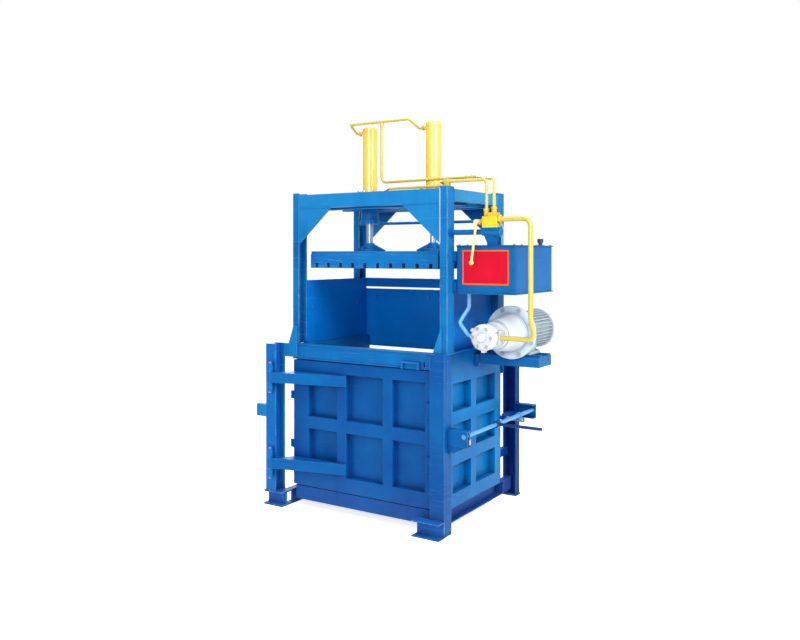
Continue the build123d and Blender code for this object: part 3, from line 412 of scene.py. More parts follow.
# A pale blue for one weld bead, standing as a painted highlight strip on the front right leg.
highlight_bead_blue = enamel("highlight_bead_blue", (0.38, 0.52, 0.78), (0.16, 0.36, 0.68), (0.60, 0.70, 0.86), wear_and_highlight=0.8,
                   radius=0.001, grime_and_shade_amount=0.2)
dress(leg_blue, "front_legs", "rear_legs")
dress(beam_blue, "portal_beams", "portal_gussets", "rear_tie_rod", "cylinder_crossbeams", "cylinder_seats",
      "post_brackets")
dress(side_beam_lit_blue, "side_beams")

leg_low, leg_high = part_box("front_legs")
rear_low, rear_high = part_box("rear_legs")
gusset_low, gusset_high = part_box("portal_gussets")
beam_low, beam_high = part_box("portal_beams")
gusset_run = 0.258
gusset_bead = 0.010
beam_bead = 0.007
leg_bead = 0.008
beam_lap = 0.016
highlight_beads = []
frame_beads = []
for inner, turn in ((gusset_low[0], 1), (gusset_high[0], -1)):
    for face in (gusset_low[1], gusset_high[1]):
        upright = weld_bead((inner, face, gusset_low[2]), (inner, face, beam_high[2]), gusset_bead)
        # The front bead of the right gusset takes the pale painted highlight.
        if face < 0 and turn < 0:
            highlight_beads.append(upright)
        else:
            frame_beads.append(upright)
        reach = inner + turn * gusset_run
        frame_beads.append(weld_bead((inner, face, beam_low[2]), (reach, face, beam_low[2]), beam_bead))
for outer, inner in ((leg_low[0], gusset_low[0]), (leg_high[0], gusset_high[0])):
    for low, high in ((leg_low, leg_high), (rear_low, rear_high)):
        face = low[1] if low[1] < 0 else high[1]
        frame_beads.append(weld_bead((outer, face, low[2]), (inner, face, low[2]), leg_bead))
        frame_beads.append(weld_bead((outer, low[1], low[2]), (outer, high[1], low[2]), leg_bead))
    for face in (leg_high[1], rear_low[1]):
        start = (outer, face, beam_low[2] + beam_lap)
        frame_beads.append(weld_bead(start, (outer, face, beam_high[2]), beam_bead))
one_piece("frame_welds", frame_beads, beam_blue, "frame")
one_piece("highlight_frame_weld", highlight_beads, highlight_bead_blue, "frame")

# Outer posts and feet: rolled sections that stand on the ground beside the box and carry
# the hinges and the lock. Blue enamel with pale edges, partly rubbed wear where pallets knock them
# and partly painted highlight. The rear lock post and its stays are painted near navy, as painted shade.
post_blue = enamel("post_blue", (0.002, 0.185, 0.55), (0.0006, 0.105, 0.42), (0.24, 0.58, 0.86), wear_and_highlight=0.95,
                   radius=0.006)
lock_blue = enamel("lock_blue", (0.0008, 0.115, 0.37), (0.0004, 0.065, 0.28), (0.14, 0.42, 0.70), wear_and_highlight=0.9,
                   radius=0.005)
foot_blue = enamel("foot_blue", (0.0008, 0.14, 0.50), (0.0004, 0.085, 0.38), (0.30, 0.66, 0.90), wear_and_highlight=1.0,
                   radius=0.007, grime_and_shade_amount=0.7)
# The rear post's near-navy coat, without gloss, is painted shade.
rear_post_shaded_blue = enamel("rear_post_shaded_blue", (0.0006, 0.045, 0.27), (0.0003, 0.028, 0.20), (0.05, 0.20, 0.48),
                        wear_and_highlight=0.7, shine=0.05, coat=0.0)
dress(post_blue, "hinge_posts", "hinge_knuckles")
dress(lock_blue, "lock_post_front", "lock_brackets")
dress(rear_post_shaded_blue, "lock_post_rear", "rear_post_stays")
dress(foot_blue, "post_feet")

post_low, post_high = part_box("hinge_posts")
post_depth = 0.094
post_bead = 0.008
bead_rise = 0.001
bead_height = post_low[2] + bead_rise
post_beads = []
for face, inward in ((post_low[1], 1), (post_high[1], -1)):
    back = face + inward * post_depth
    left = (post_low[0], face, bead_height)
    right = (post_high[0], face, bead_height)
    post_beads.append(weld_bead(left, right, post_bead))
    post_beads.append(weld_bead(left, (post_low[0], back, bead_height), post_bead))
    post_beads.append(weld_bead(right, (post_high[0], back, bead_height), post_bead))
one_piece("post_foot_welds", post_beads, foot_blue, "frame")

# Hinge pins: round bar dropped through the knuckles, left bare. All bare metal on the machine is
# turned or rolled steel, with a fine grain, a few stains where oil has held the dust, and painted shade in
# its corners.


def build_steel_group():
    """Turned or rolled steel: fine grain, small stains, a few rust freckles, and painted shade in its
    corners.
    """
    group = new_group(
        "bare_steel",
        [("Steel", "NodeSocketColor", (0.5, 0.5, 0.5, 1)), ("Stain", "NodeSocketColor", (0.2, 0.15, 0.1, 1)),
         ("Grain", "NodeSocketFloat", 400.0), ("Gloss", "NodeSocketFloat", 0.25)],
        [("Color", "NodeSocketColor"), ("Roughness", "NodeSocketFloat"), ("Normal", "NodeSocketVector")])
    source = group.nodes["Group Input"]
    sink = group.nodes["Group Output"]
    link = group.links.new
    place = add_node(group, "ShaderNodeTexCoord")
    stain = add_node(group, "ShaderNodeTexNoise", Scale=35.0, Detail=6.0, Roughness=0.7)
    grain = add_node(group, "ShaderNodeTexNoise", Detail=2.0)
    link(place.outputs["Object"], stain.inputs["Vector"])
    link(place.outputs["Object"], grain.inputs["Vector"])
    link(source.outputs["Grain"], grain.inputs["Scale"])
    spots = scaled(group, stain.outputs["Fac"], 0.52, 0.72, to_max=0.7)
    # Corners darken towards the stain colour through ambient occlusion, as painted shade.
    corner = add_node(group, "ShaderNodeAmbientOcclusion", samples=4, Distance=0.015)
    shut = scaled(group, corner.outputs["AO"], 0.9, 0.3, to_max=0.6)
    both = add_node(group, "ShaderNodeMath", operation="MAXIMUM")
    link(spots, both.inputs[0])
    link(shut, both.inputs[1])
    link(blend_colors(group, both.outputs["Value"], source.outputs["Steel"], source.outputs["Stain"]),
         sink.inputs["Color"])
    rough = add_node(group, "ShaderNodeMath", operation="MULTIPLY_ADD")
    rough.inputs[1].default_value = 0.3
    link(stain.outputs["Fac"], rough.inputs[0])
    link(source.outputs["Gloss"], rough.inputs[2])
    link(rough.outputs["Value"], sink.inputs["Roughness"])
    bump = add_node(group, "ShaderNodeBump", Distance=0.0004, Strength=0.2)
    link(grain.outputs["Fac"], bump.inputs["Height"])
    link(bump.outputs["Normal"], sink.inputs["Normal"])
    return group


steel_group = build_steel_group()


def steel(name, color, stain, gloss=0.2, grain=400.0, metal=0.9):
    """A bare metal finish made from the steel group."""
    made = bpy.data.materials.new(name)
    made.use_nodes = True
    tree = made.node_tree
    shader = tree.nodes["Principled BSDF"]
    group = tree.nodes.new("ShaderNodeGroup")
    group.node_tree = steel_group
    group.inputs["Steel"].default_value = (*color, 1)
    group.inputs["Stain"].default_value = (*stain, 1)
    group.inputs["Grain"].default_value = grain
    group.inputs["Gloss"].default_value = gloss
    for label, socket in (("Color", "Base Color"), ("Roughness", "Roughness"), ("Normal", "Normal")):
        tree.links.new(group.outputs[label], shader.inputs[socket])
    shader.inputs["Metallic"].default_value = metal
    return made


pin_steel = steel("pin_steel", (0.30, 0.36, 0.46), (0.12, 0.14, 0.18), gloss=0.3, metal=0.8)
dress(pin_steel, "hinge_pins")

# Feed opening and floor: plain sheets between the legs, held by small painted bolts and scuffed
# inside by what is thrown in. The floor below is thicker plate, rubbed bare in places by bales.
# The feed sheets are painted a lighter blue, as painted light inside the shaded hopper, with little grime and
# painted shade.
panel_lightened_blue = enamel("panel_lightened_blue", (0.0006, 0.22, 0.72), (0.0004, 0.165, 0.60), (0.05, 0.34, 0.76),
                    gloss=0.34, wear_and_highlight=0.5, scuffs=0.22, grime_and_shade_amount=0.30)
floor_blue = enamel("floor_blue", (0.003, 0.10, 0.38), (0.001, 0.06, 0.27), (0.26, 0.30, 0.36), gloss=0.36,
                    wear_and_highlight=0.9, scuffs=0.8, grime_and_shade_amount=0.8)
bolt_blue = enamel("bolt_blue", (0.04, 0.26, 0.66), (0.01, 0.16, 0.52), (0.30, 0.50, 0.76), wear_and_highlight=0.9,
                   radius=0.002)
dress(panel_lightened_blue, "feed_panels", "rear_feed_panel")
dress(bolt_blue, "panel_bolts")
dress(floor_blue, "floor_plate")

# Doors: plate behind a grid of ribs, hung on slanting arms. The arms are welded across the
# ribs, each rib all round its pocket, and the leaf is sprayed with a darker copy of the box's blue, as
# painted shade on the low front faces.
door_shaded_blue = enamel("door_shaded_blue", (0.0004, 0.112, 0.385), (0.0002, 0.062, 0.28), (0.03, 0.28, 0.60), wear_and_highlight=0.7,
                   grime_and_shade_amount=0.8)
arm_blue = enamel("arm_blue", (0.0008, 0.15, 0.43), (0.0004, 0.09, 0.33), (0.10, 0.40, 0.70), wear_and_highlight=0.9)
dress(door_shaded_blue, "front_door", "rear_door")
dress(arm_blue, "front_hinge_arms", "rear_hinge_arms")

door_lug = 0.030
stile_width = 0.121
lock_stile = 0.040
door_rib = 0.070
rail_height = 0.076
rail_share = 0.51
bottom_rail = 0.090
top_rail = 0.068
middle_bay = 1.2
leaf_skin = 0.006
arm_height = 0.066
arm_margin = 0.013
arm_start = 0.060
arm_depth = 0.010
front_low, front_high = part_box("front_door")
for name, body, facing in (("front_door", "front_door_leaf", -1), ("rear_door", "rear_door_leaf", 1)):
    low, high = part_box(name)
    arm_low, arm_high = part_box(name.replace("door", "hinge_arms"))
    left = low[0] + door_lug
    stile = left + stile_width
    span = (high[0] - lock_stile - stile - 2 * door_rib) / (2 + middle_bay)
    rib_one = stile + span
    rib_two = rib_one + door_rib + middle_bay * span
    rail = low[2] + rail_share * (front_high[2] - front_low[2])
    inner_face = high[1] if facing < 0 else low[1]
    skin = inner_face + facing * leaf_skin
    short_bay = (arm_low[2] + arm_height + arm_margin, arm_high[2] - arm_height - arm_margin)
    tall_bay = (low[2] + bottom_rail, high[2] - top_rail)
    bays = [(stile, rib_one, *short_bay), (rib_one + door_rib, rib_two, *tall_bay),
            (rib_two + door_rib, high[0] - lock_stile, *tall_bay)]
    door_beads = []
    for x0, x1, z0, z1 in bays:
        door_beads += pocket_welds("y", skin, x0, x1, z0, rail - rail_height / 2)
        door_beads += pocket_welds("y", skin, x0, x1, rail + rail_height / 2, z1)
    outer = low[1] + arm_depth if facing < 0 else high[1] - arm_depth
    arm_end = rib_one + door_rib
    for z in (arm_low[2], arm_low[2] + arm_height, arm_high[2] - arm_height, arm_high[2]):
        door_beads.append(weld_bead((left + arm_start, outer, z), (arm_end, outer, z)))
    one_piece(name + "_welds", door_beads, door_shaded_blue, body)

# Press: a heavy ribbed plate, bright along its edges, partly where bales rub it and partly as painted
# highlight, hung by bolted feet from two ground and chromed rods.
press_blue = enamel("press_blue", (0.008, 0.22, 0.53), (0.002, 0.13, 0.42), (0.22, 0.48, 0.74), wear_and_highlight=0.9,
                    scuffs=0.3)
# The rods' chrome is tinted blue-grey, as a painted reflection of the blue machine round them.
rod_chrome_blue_reflection = steel("rod_chrome_blue_reflection", (0.30, 0.40, 0.54), (0.16, 0.25, 0.38), gloss=0.14, grain=900.0, metal=1.0)
dress(press_blue, "press_plate", "rod_feet", "cylinder_collars")
dress(rod_chrome_blue_reflection, "piston_rods")

# Cylinders: drawn tube with welded caps, sprayed yellow and left glossy. A ring of weld
# closes each cap, and another ties the flange to the tube.
cylinder_yellow = enamel("cylinder_yellow", (0.95, 0.64, 0.04), (0.90, 0.52, 0.015), (0.97, 0.84, 0.40),
                         gloss=0.26, wear_and_highlight=0.3, radius=0.002, relief=0.06, grime_and_shade_amount=0.5, scuffs=0.06,
                         shine=1.0, coat=1.0, wave=0.03)
bright_steel = steel("bright_steel", (0.46, 0.48, 0.51), (0.20, 0.18, 0.16))
dress(cylinder_yellow, "cylinder_barrels")
dress(bright_steel, "cylinder_bolts")

ring_drops = 96


def ring_pattern(radius, width):
    """A rippled bead laid round a tube."""
    clear_selection()
    bpy.ops.mesh.primitive_torus_add(major_radius=radius, minor_radius=width / 2, major_segments=ring_drops,
                                     minor_segments=7)
    ring = bpy.context.object
    bpy.ops.object.mode_set(mode="EDIT")
    bpy.ops.mesh.select_mode(type="VERT")
    bpy.ops.mesh.select_all(action="DESELECT")
    mesh = bmesh.from_edit_mesh(ring.data)
    for vert in mesh.verts:
        step = round(math.degrees(math.atan2(vert.co.y, vert.co.x)) / (360 / ring_drops))
        if step % 2 == 0:
            vert.select_set(True)
    bmesh.update_edit_mesh(ring.data)
    bpy.ops.transform.shrink_fatten(value=-width * ripple)
    bpy.ops.object.mode_set(mode="OBJECT")
    bpy.ops.object.shade_smooth()
    return take_pattern()


barrel_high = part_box("cylinder_barrels")[1]
seat_low, seat_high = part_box("cylinder_seats")
tube_radius = 0.051
flange_radius = 0.087
flange_gauge = 0.017
cap_depth = 0.028
cylinder_pitch = 0.486
barrel_right = barrel_high[0] - flange_radius
barrel_y = (seat_low[1] + seat_high[1]) / 2
cap_ring = ring_pattern(tube_radius, 0.005)
flange_ring = ring_pattern(tube_radius, 0.008)
tube_rings = []
for x in (barrel_right - cylinder_pitch, barrel_right):
    tube_rings.append(copy_in_place(cap_ring, (x, barrel_y, barrel_high[2] - cap_depth), (0, 0, 1)))
    tube_rings.append(copy_in_place(flange_ring, (x, barrel_y, seat_high[2] + flange_gauge), (0, 0, 1)))
one_piece("cylinder_welds", tube_rings, cylinder_yellow, "frame")

# Pipework and valve: cold-drawn steel pipe bent on a former, with hexagon unions at each port.
# Everything here was brushed with the cylinders' yellow after it was fitted.
pipe_yellow = enamel("pipe_yellow", (0.66, 0.53, 0.10), (0.60, 0.44, 0.05), (0.95, 0.86, 0.40),
                     gloss=0.20, wear_and_highlight=0.3, radius=0.002, relief=0.06, grime_and_shade_amount=0.3, scuffs=0.05,
                     shine=0.5, coat=0.4, wave=0.04)
valve_yellow = enamel("valve_yellow", (0.84, 0.60, 0.025), (0.72, 0.44, 0.012), (0.96, 0.84, 0.36),
                      gloss=0.26, wear_and_highlight=0.7, radius=0.003, grime_and_shade_amount=0.9, shine=0.4)
lever_yellow = enamel("lever_yellow", (0.92, 0.80, 0.34), (0.86, 0.70, 0.20), (0.95, 0.90, 0.62), wear_and_highlight=0.5,
                      radius=0.002)
dress(pipe_yellow, "pressure_pipe", "upper_pipe", "lower_pipe", "pipe_nuts")
dress(valve_yellow, "control_valve")
dress(lever_yellow, "valve_lever")


def nut_pattern(across, height):
    """A hexagon nut or head: chamfered at both ends, with a turned face inside the chamfer."""
    chamfer = min(across * 0.07, height * 0.2)
    face_margin = across * 0.05
    face_sink = height * 0.03
    clear_selection()
    bpy.ops.mesh.primitive_cylinder_add(vertices=6, radius=across / math.sqrt(3), depth=height)
    nut = bpy.context.object
    bpy.ops.object.mode_set(mode="EDIT")
    bpy.ops.mesh.select_mode(type="EDGE")
    bpy.ops.mesh.select_all(action="DESELECT")
    mesh = bmesh.from_edit_mesh(nut.data)
    for edge in mesh.edges:
        if abs(edge.verts[0].co.z - edge.verts[1].co.z) < height / 2:
            edge.select_set(True)
    bmesh.update_edit_mesh(nut.data)
    bpy.ops.mesh.bevel(offset=chamfer, segments=2, affect="EDGES")
    bpy.ops.mesh.select_mode(type="FACE")
    bpy.ops.mesh.select_all(action="DESELECT")
    mesh = bmesh.from_edit_mesh(nut.data)
    for face in mesh.faces:
        if abs(face.normal.z) > 0.99:
            face.select_set(True)
    bmesh.update_edit_mesh(nut.data)
    bpy.ops.mesh.inset(thickness=face_margin, depth=-face_sink, use_individual=True)
    bpy.ops.object.mode_set(mode="OBJECT")
    bpy.ops.object.shade_smooth_by_angle(angle=math.radians(25))
    return take_pattern()


valve_low, valve_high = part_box("control_valve")
valve_y = (valve_low[1] + valve_high[1]) / 2
valve_middle = 0.062
valve_x = valve_high[0] - valve_middle
thin_nut = nut_pattern(0.030, 0.013)
pressure_nut = nut_pattern(0.042, 0.018)
cylinder_nut = nut_pattern(0.030, 0.011)
top_ports = ((0.018, 0.108), (-0.028, 0.098))
pressure_port_depth = 0.006
pressure_port_rise = 0.046
cylinder_port_reach = 0.020
cylinder_port_drop = 0.031
union_nuts = []
for reach, rise in top_ports:
    union_nuts.append(copy_in_place(thin_nut, (valve_x + reach, valve_y, valve_low[2] + rise), (0, 0, 1)))
pressure_port = (valve_high[0] - pressure_port_depth, valve_y, valve_low[2] + pressure_port_rise)
union_nuts.append(copy_in_place(pressure_nut, pressure_port, (1, 0, 0)))
for x in (barrel_right - cylinder_pitch, barrel_right):
    port = (x - tube_radius - cylinder_port_reach, barrel_y, barrel_high[2] - cylinder_port_drop)
    union_nuts.append(copy_in_place(cylinder_nut, port, (1, 0, 0)))
one_piece("union_nuts", union_nuts, valve_yellow, "frame")

# Oil tank: folded sheet with a flanged lid, held down all round by small hexagon bolts. An arm of
# bent tube on the lid carries the valve, and the pale suction pipe runs down to the pump.
tank_blue = enamel("tank_blue", (0.004, 0.145, 0.40), (0.002, 0.09, 0.32), (0.12, 0.40, 0.68), radius=0.003,
                   wear_and_highlight=0.6, grime_and_shade_amount=0.5)
lid_blue = enamel("lid_blue", (0.003, 0.11, 0.36), (0.001, 0.065, 0.28), (0.14, 0.38, 0.66), radius=0.002,
                  wear_and_highlight=0.7)
valve_arm_blue = enamel("valve_arm_blue", (0.003, 0.15, 0.43), (0.001, 0.085, 0.33), (0.16, 0.42, 0.70),
                        wear_and_highlight=0.7)
suction_blue = enamel("suction_blue", (0.16, 0.46, 0.76), (0.04, 0.30, 0.64), (0.6, 0.80, 0.95), radius=0.003,
                      grime_and_shade_amount=0.3, gloss=0.15, shine=0.6, coat=0.6, wave=0.04)
dress(tank_blue, "oil_tank", "motor_bracket")
dress(lid_blue, "tank_lid")
dress(valve_arm_blue, "valve_arm")
dress(suction_blue, "tank_pipes")

lid_low, lid_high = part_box("tank_lid")
bolt_height = 0.006
lid_bolt = nut_pattern(0.013, bolt_height)
bolt_inset = 0.014
lid_columns = 4
lid_rows = 6
lid_bolts = []
for row in range(lid_rows):
    for column in range(lid_columns):
        if row < lid_rows - 1 and 0 < column < lid_columns - 1:
            continue
        x = lid_low[0] + bolt_inset + column * (lid_high[0] - lid_low[0] - 2 * bolt_inset) / (lid_columns - 1)
        y = lid_low[1] + bolt_inset + row * (lid_high[1] - lid_low[1] - 2 * bolt_inset) / (lid_rows - 1)
        lid_bolts.append(copy_in_place(lid_bolt, (x, y, lid_high[2] + bolt_height / 2), (0, 0, 1)))
one_piece("lid_bolts", lid_bolts, bright_steel, "frame")

# Plate on the tank's front: red enamel, left bare, with an orange line painted round its edge
# and a small domed rivet in each corner.
plate_red = enamel("plate_red", (0.72, 0.006, 0.030), (0.58, 0.003, 0.020), (0.85, 0.18, 0.05), gloss=0.24,
                   wear_and_highlight=0.4, radius=0.001, relief=0.05, grime_and_shade_amount=0.2, scuffs=0.05)
line_orange = enamel("line_orange", (0.88, 0.17, 0.02), (0.80, 0.11, 0.015), (0.92, 0.34, 0.10), gloss=0.26,
                     wear_and_highlight=0.4, radius=0.0005, relief=0.05, grime_and_shade_amount=0.1)
dress(plate_red, "tank_plate")
plate_low, plate_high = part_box("tank_plate")
line_width = 0.009
line_gauge = 0.0004
clear_selection()
bpy.ops.mesh.primitive_plane_add(size=1, location=((plate_low[0] + plate_high[0]) / 2, plate_low[1],
                                                   (plate_low[2] + plate_high[2]) / 2),
                                 rotation=(math.radians(90), 0, 0))
edge_line = bpy.context.object
edge_line.scale = (plate_high[0] - plate_low[0], plate_high[2] - plate_low[2], 1)
bpy.ops.object.transform_apply(location=True, rotation=True, scale=True)
bpy.ops.object.mode_set(mode="EDIT")
bpy.ops.mesh.select_all(action="SELECT")
bpy.ops.mesh.inset(thickness=line_width)
bpy.ops.mesh.delete(type="FACE")
bpy.ops.object.mode_set(mode="OBJECT")
thick = edge_line.modifiers.new("thick", "SOLIDIFY")
thick.thickness = line_gauge
thick.offset = 1
bpy.ops.object.modifier_apply(modifier="thick")
one_piece("plate_edge_line", [edge_line], line_orange, "frame")


def rivet_pattern(radius, flatness=0.55):
    """A snap-head rivet: the cap of a ball, flattened, with a closed back."""
    clear_selection()
    bpy.ops.mesh.primitive_uv_sphere_add(segments=20, ring_count=12, radius=radius)
    bpy.ops.object.mode_set(mode="EDIT")
    bpy.ops.mesh.select_all(action="SELECT")
    bpy.ops.mesh.bisect(plane_co=(0, 0, 0), plane_no=(0, 0, 1), clear_inner=True, use_fill=True)
    bpy.ops.mesh.select_all(action="SELECT")
    bpy.ops.transform.resize(value=(1, 1, flatness), center_override=(0, 0, 0))
    bpy.ops.object.mode_set(mode="OBJECT")
    bpy.ops.object.shade_smooth_by_angle(angle=math.radians(40))
    return take_pattern()


corner_inset = 0.016
rivet_sink = 0.0002
corner_rivet = rivet_pattern(0.0035)
rivets = []
for x in (plate_low[0] + corner_inset, plate_high[0] - corner_inset):
    for z in (plate_low[2] + corner_inset, plate_high[2] - corner_inset):
        rivets.append(copy_in_place(corner_rivet, (x, plate_low[1] + rivet_sink, z), (0, -1, 0)))
one_piece("plate_rivets", rivets, plate_red, "frame")

# Motor, bell housing and pump: iron castings in silver paint, with a coarser skin. The finned body
# is painted darker teal-grey than the rest, as painted shade between its fins, and corners darken towards an
# oily dust colour, partly as painted shade.
oily_grime_and_shade = (0.085, 0.125, 0.145)
silver = enamel("silver_paint", (0.74, 0.76, 0.77), (0.60, 0.65, 0.68), (0.88, 0.90, 0.92), gloss=0.30,
                wear_and_highlight=0.5, radius=0.003, relief=0.35, grime_and_shade_amount=0.85, scuffs=0.1, grime_and_shade_color=oily_grime_and_shade)
cowl_silver = enamel("cowl_silver", (0.80, 0.85, 0.87), (0.70, 0.76, 0.79), (0.88, 0.90, 0.92), gloss=0.30,
                     wear_and_highlight=0.5, radius=0.002, relief=0.10, grime_and_shade_amount=0.6, scuffs=0.1, grime_and_shade_color=oily_grime_and_shade)
# The finned body's darker teal-grey is painted shade.
finned_shaded_silver = enamel("finned_shaded_silver", (0.70, 0.78, 0.82), (0.48, 0.60, 0.66), (0.86, 0.90, 0.92),
                       gloss=0.36, wear_and_highlight=0.8, radius=0.0015, relief=0.35, grime_and_shade_amount=0.6, scuffs=0.0,
                       grime_and_shade_color=oily_grime_and_shade)
flange_silver = enamel("flange_silver", (0.74, 0.84, 0.88), (0.56, 0.70, 0.76), (0.90, 0.94, 0.95),
                       gloss=0.30, wear_and_highlight=0.8, radius=0.004, relief=0.35, grime_and_shade_amount=0.9, scuffs=0.1,
                       grime_and_shade_color=oily_grime_and_shade)
dress(silver, "bell_housing", "oil_pump")
dress(flange_silver, "motor_flange")
dress(cowl_silver, "motor_cowl")
dress(finned_shaded_silver, "motor_body")
dress(bright_steel, "motor_bolts", "motor_rotor")

# Door lock: one turned shaft with welded cranks works both bolts. The shaft is wiped bright
# blue by its bearings, and the hand lever on it is dipped in darker paint.
shaft_blue = enamel("shaft_blue", (0.10, 0.40, 0.72), (0.03, 0.28, 0.60), (0.40, 0.62, 0.84), wear_and_highlight=0.9,
                    radius=0.002, shine=0.4)
handle_blue = enamel("handle_blue", (0.004, 0.035, 0.20), (0.004, 0.015, 0.14), (0.10, 0.26, 0.50), wear_and_highlight=0.9,
                     radius=0.002, shine=0.4)
dress(shaft_blue, "lock_shaft")
dress(handle_blue, "lock_handle")
dress(bright_steel, "lock_bolt_front", "lock_bolt_rear")

# Breather: a cap in dark pressed steel, screwed into the tank's lid, with a knurled grip round it
# for the hand that fills the tank.
dark_steel = steel("dark_steel", (0.030, 0.045, 0.09), (0.09, 0.06, 0.05), gloss=0.35, metal=0.4)
dress(dark_steel, "tank_breather")
breather_low, breather_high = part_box("tank_breather")
breather_middle = ((breather_low[0] + breather_high[0]) / 2, (breather_low[1] + breather_high[1]) / 2)
cap_radius = (breather_high[0] - breather_low[0]) / 2
grip_height = 0.015
grip_drop = 0.012
grip_rim = 0.0025
grip_wall = 0.0012
grip_slack = 1.012
knurls = 56
knurl_floor = 0.94
clear_selection()
bpy.ops.mesh.primitive_cylinder_add(vertices=knurls, radius=cap_radius, depth=grip_height)
grip = bpy.context.object
bpy.ops.object.mode_set(mode="EDIT")
bpy.ops.mesh.select_mode(type="FACE")
bpy.ops.mesh.select_all(action="DESELECT")
mesh = bmesh.from_edit_mesh(grip.data)
for face in mesh.faces:
    if abs(face.normal.z) > 0.9:
        face.select_set(True)
bmesh.update_edit_mesh(grip.data)
bpy.ops.mesh.inset(thickness=grip_rim)
bpy.ops.mesh.delete(type="FACE")
bpy.ops.mesh.select_mode(type="VERT")
bpy.ops.mesh.select_all(action="DESELECT")
mesh = bmesh.from_edit_mesh(grip.data)
for vert in mesh.verts:
    if math.hypot(vert.co.x, vert.co.y) > cap_radius * 0.98:
        step = round(math.degrees(math.atan2(vert.co.y, vert.co.x)) / (360 / knurls))
        if step % 2 == 0:
            vert.select_set(True)
bmesh.update_edit_mesh(grip.data)
bpy.ops.transform.resize(value=(knurl_floor, knurl_floor, 1), center_override=(0, 0, 0))
bpy.ops.mesh.select_all(action="SELECT")
bpy.ops.transform.resize(value=(grip_slack, grip_slack, 1), center_override=(0, 0, 0))
bpy.ops.object.mode_set(mode="OBJECT")
wall = grip.modifiers.new("wall", "SOLIDIFY")
wall.thickness = grip_wall
bpy.ops.object.modifier_apply(modifier="wall")
set_in_place(grip, (*breather_middle, breather_high[2] - grip_drop), (0, 0, 1))
one_piece("breather_grip", [grip], dark_steel, "frame")

# Cowl screws and casting lips: small screws hold the cowl's skirt to the motor. A lip is cast
# round the bell where it meets the flange, and another round the pump where it meets the bell.
cowl_low, cowl_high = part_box("motor_cowl")
motor_x = (cowl_low[0] + cowl_high[0]) / 2
motor_z = (cowl_low[2] + cowl_high[2]) / 2
screw_proud = 0.0012
screw_inset = 0.016
cowl_reach = (cowl_high[0] - cowl_low[0]) / 2 + screw_proud
cowl_screw = nut_pattern(0.009, 0.005)
cowl_screws = []
for turn in range(4):
    angle = math.radians(45 + 90 * turn)
    way = (math.cos(angle), 0, math.sin(angle))
    place = (motor_x + cowl_reach * way[0], cowl_low[1] + screw_inset, motor_z + cowl_reach * way[2])
    cowl_screws.append(copy_in_place(cowl_screw, place, way))
one_piece("cowl_screws", cowl_screws, bright_steel, "frame")

bell_low, bell_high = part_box("bell_housing")
pump_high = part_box("oil_pump")[1]
bell_radius = (bell_high[0] - bell_low[0]) / 2
bell_lip_gap = 0.0005
bell_lip_inset = 0.006
pump_lip_radius = 0.075
pump_lip_inset = 0.008
cast_lip_radius = 0.0045
cast_lip_stretch = 1.6
cast_lips = []
for radius, y in ((bell_radius + bell_lip_gap, bell_high[1] - bell_lip_inset),
                  (pump_lip_radius, pump_high[1] - pump_lip_inset)):
    clear_selection()
    bpy.ops.mesh.primitive_torus_add(major_radius=radius, minor_radius=cast_lip_radius, major_segments=80,
                                     minor_segments=8)
    lip = bpy.context.object
    bpy.ops.object.mode_set(mode="EDIT")
    bpy.ops.mesh.select_all(action="SELECT")
    bpy.ops.transform.resize(value=(1, 1, cast_lip_stretch), center_override=(0, 0, 0))
    bpy.ops.object.mode_set(mode="OBJECT")
    bpy.ops.object.shade_smooth()
    cast_lips.append(set_in_place(lip, (motor_x, y, motor_z), (0, 1, 0)))
one_piece("casting_lips", cast_lips, silver, "frame")

# Floor, light and camera: a plain pale studio, with a white background that the camera sees
# and that bright metal mirrors. Four soft lamps and a faint blue sky light the machine.


def shows_white(tree):
    """One for the rays that look at the background: from the camera, a reflection or a clear part."""
    rays = tree.nodes.new("ShaderNodeLightPath")
    total = rays.outputs["Is Camera Ray"]
    for label in ("Is Glossy Ray", "Is Transmission Ray"):
        either = tree.nodes.new("ShaderNodeMath")
        either.operation = "MAXIMUM"
        tree.links.new(total, either.inputs[0])
        tree.links.new(rays.outputs[label], either.inputs[1])
        total = either.outputs["Value"]
    return total


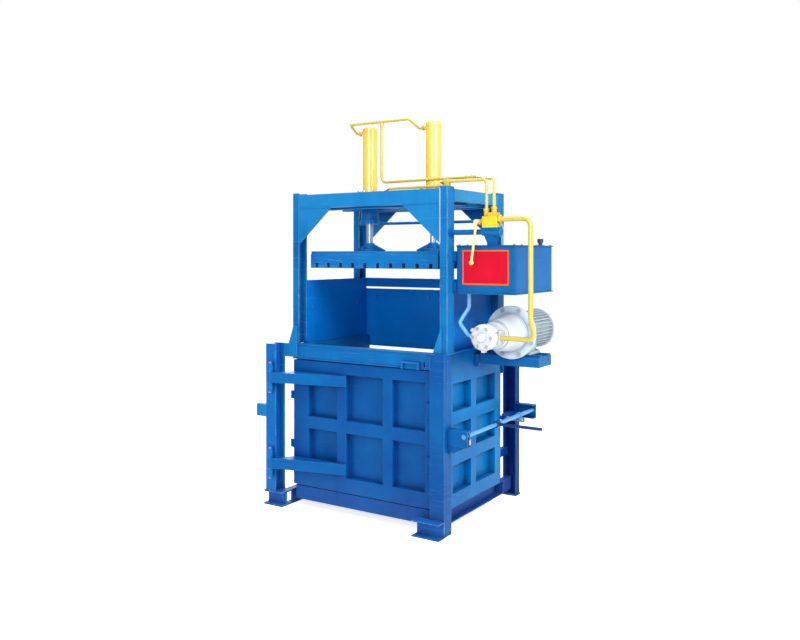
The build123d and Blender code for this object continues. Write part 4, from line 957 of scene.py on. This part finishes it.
floor_reach = 14.0
floor_glow = 0.72
sky_power = 0.44
clear_selection()
bpy.ops.mesh.primitive_plane_add(size=2 * floor_reach, location=(0, 0, 0))
floor = bpy.context.object
floor.name = "studio_floor"
floor_paint = bpy.data.materials.new("studio_white")
floor_paint.use_nodes = True
tree = floor_paint.node_tree
shader = tree.nodes["Principled BSDF"]
shader.inputs["Base Color"].default_value = (0.88, 0.88, 0.88, 1)
shader.inputs["Roughness"].default_value = 0.9
shader.inputs["Emission Color"].default_value = (1, 1, 1, 1)
lift = tree.nodes.new("ShaderNodeMath")
lift.operation = "MULTIPLY"
lift.inputs[1].default_value = floor_glow
tree.links.new(shows_white(tree), lift.inputs[0])
tree.links.new(lift.outputs["Value"], shader.inputs["Emission Strength"])
floor.data.materials.append(floor_paint)

world = bpy.data.worlds.new("studio_air")
bpy.context.scene.world = world
world.use_nodes = True
tree = world.node_tree
background = tree.nodes["Background"]
seen = shows_white(tree)
power = tree.nodes.new("ShaderNodeMapRange")
power.inputs["To Min"].default_value = sky_power
power.inputs["To Max"].default_value = 1.0
tree.links.new(seen, power.inputs["Value"])
tree.links.new(power.outputs["Result"], background.inputs["Strength"])
white = tree.nodes.new("ShaderNodeMix")
white.data_type = "RGBA"
white.inputs["A"].default_value = (0.84, 0.92, 1.0, 1)
white.inputs["B"].default_value = (1, 1, 1, 1)
tree.links.new(seen, white.inputs["Factor"])
tree.links.new(white.outputs["Result"], background.inputs["Color"])


def soft_light(name, place, target, size, power):
    """A square studio lamp aimed at a point."""
    lamp = bpy.data.lights.new(name, "AREA")
    lamp.shape = "SQUARE"
    lamp.size = size
    lamp.energy = power
    holder = bpy.data.objects.new(name, lamp)
    bpy.context.scene.collection.objects.link(holder)
    holder.location = place
    way = Vector(target) - Vector(place)
    holder.rotation_euler = way.to_track_quat("-Z", "Y").to_euler()
    return holder


middle = (0.0, 0.0, 1.2)
soft_light("key_lamp", (5.2, -1.8, 3.8), middle, size=2.4, power=250)
soft_light("fill_lamp", (1.6, -6.0, 2.4), middle, size=2.2, power=125)
soft_light("top_lamp", (0.6, -1.0, 5.6), middle, size=3.0, power=120)
soft_light("rear_lamp", (-3.4, 3.6, 3.4), middle, size=2.6, power=190)

camera_data = bpy.data.cameras.new("photo_view")
camera = bpy.data.objects.new("photo_view", camera_data)
bpy.context.scene.collection.objects.link(camera)
camera.location = (2.696, -4.431, 1.6)
camera.rotation_euler = (math.radians(90), 0, math.radians(32.15))
camera_data.lens = 36.5
camera_data.shift_x = -0.0125
camera_data.shift_y = -0.082
bpy.context.scene.camera = camera
bpy.context.scene.view_settings.view_transform = "Standard"
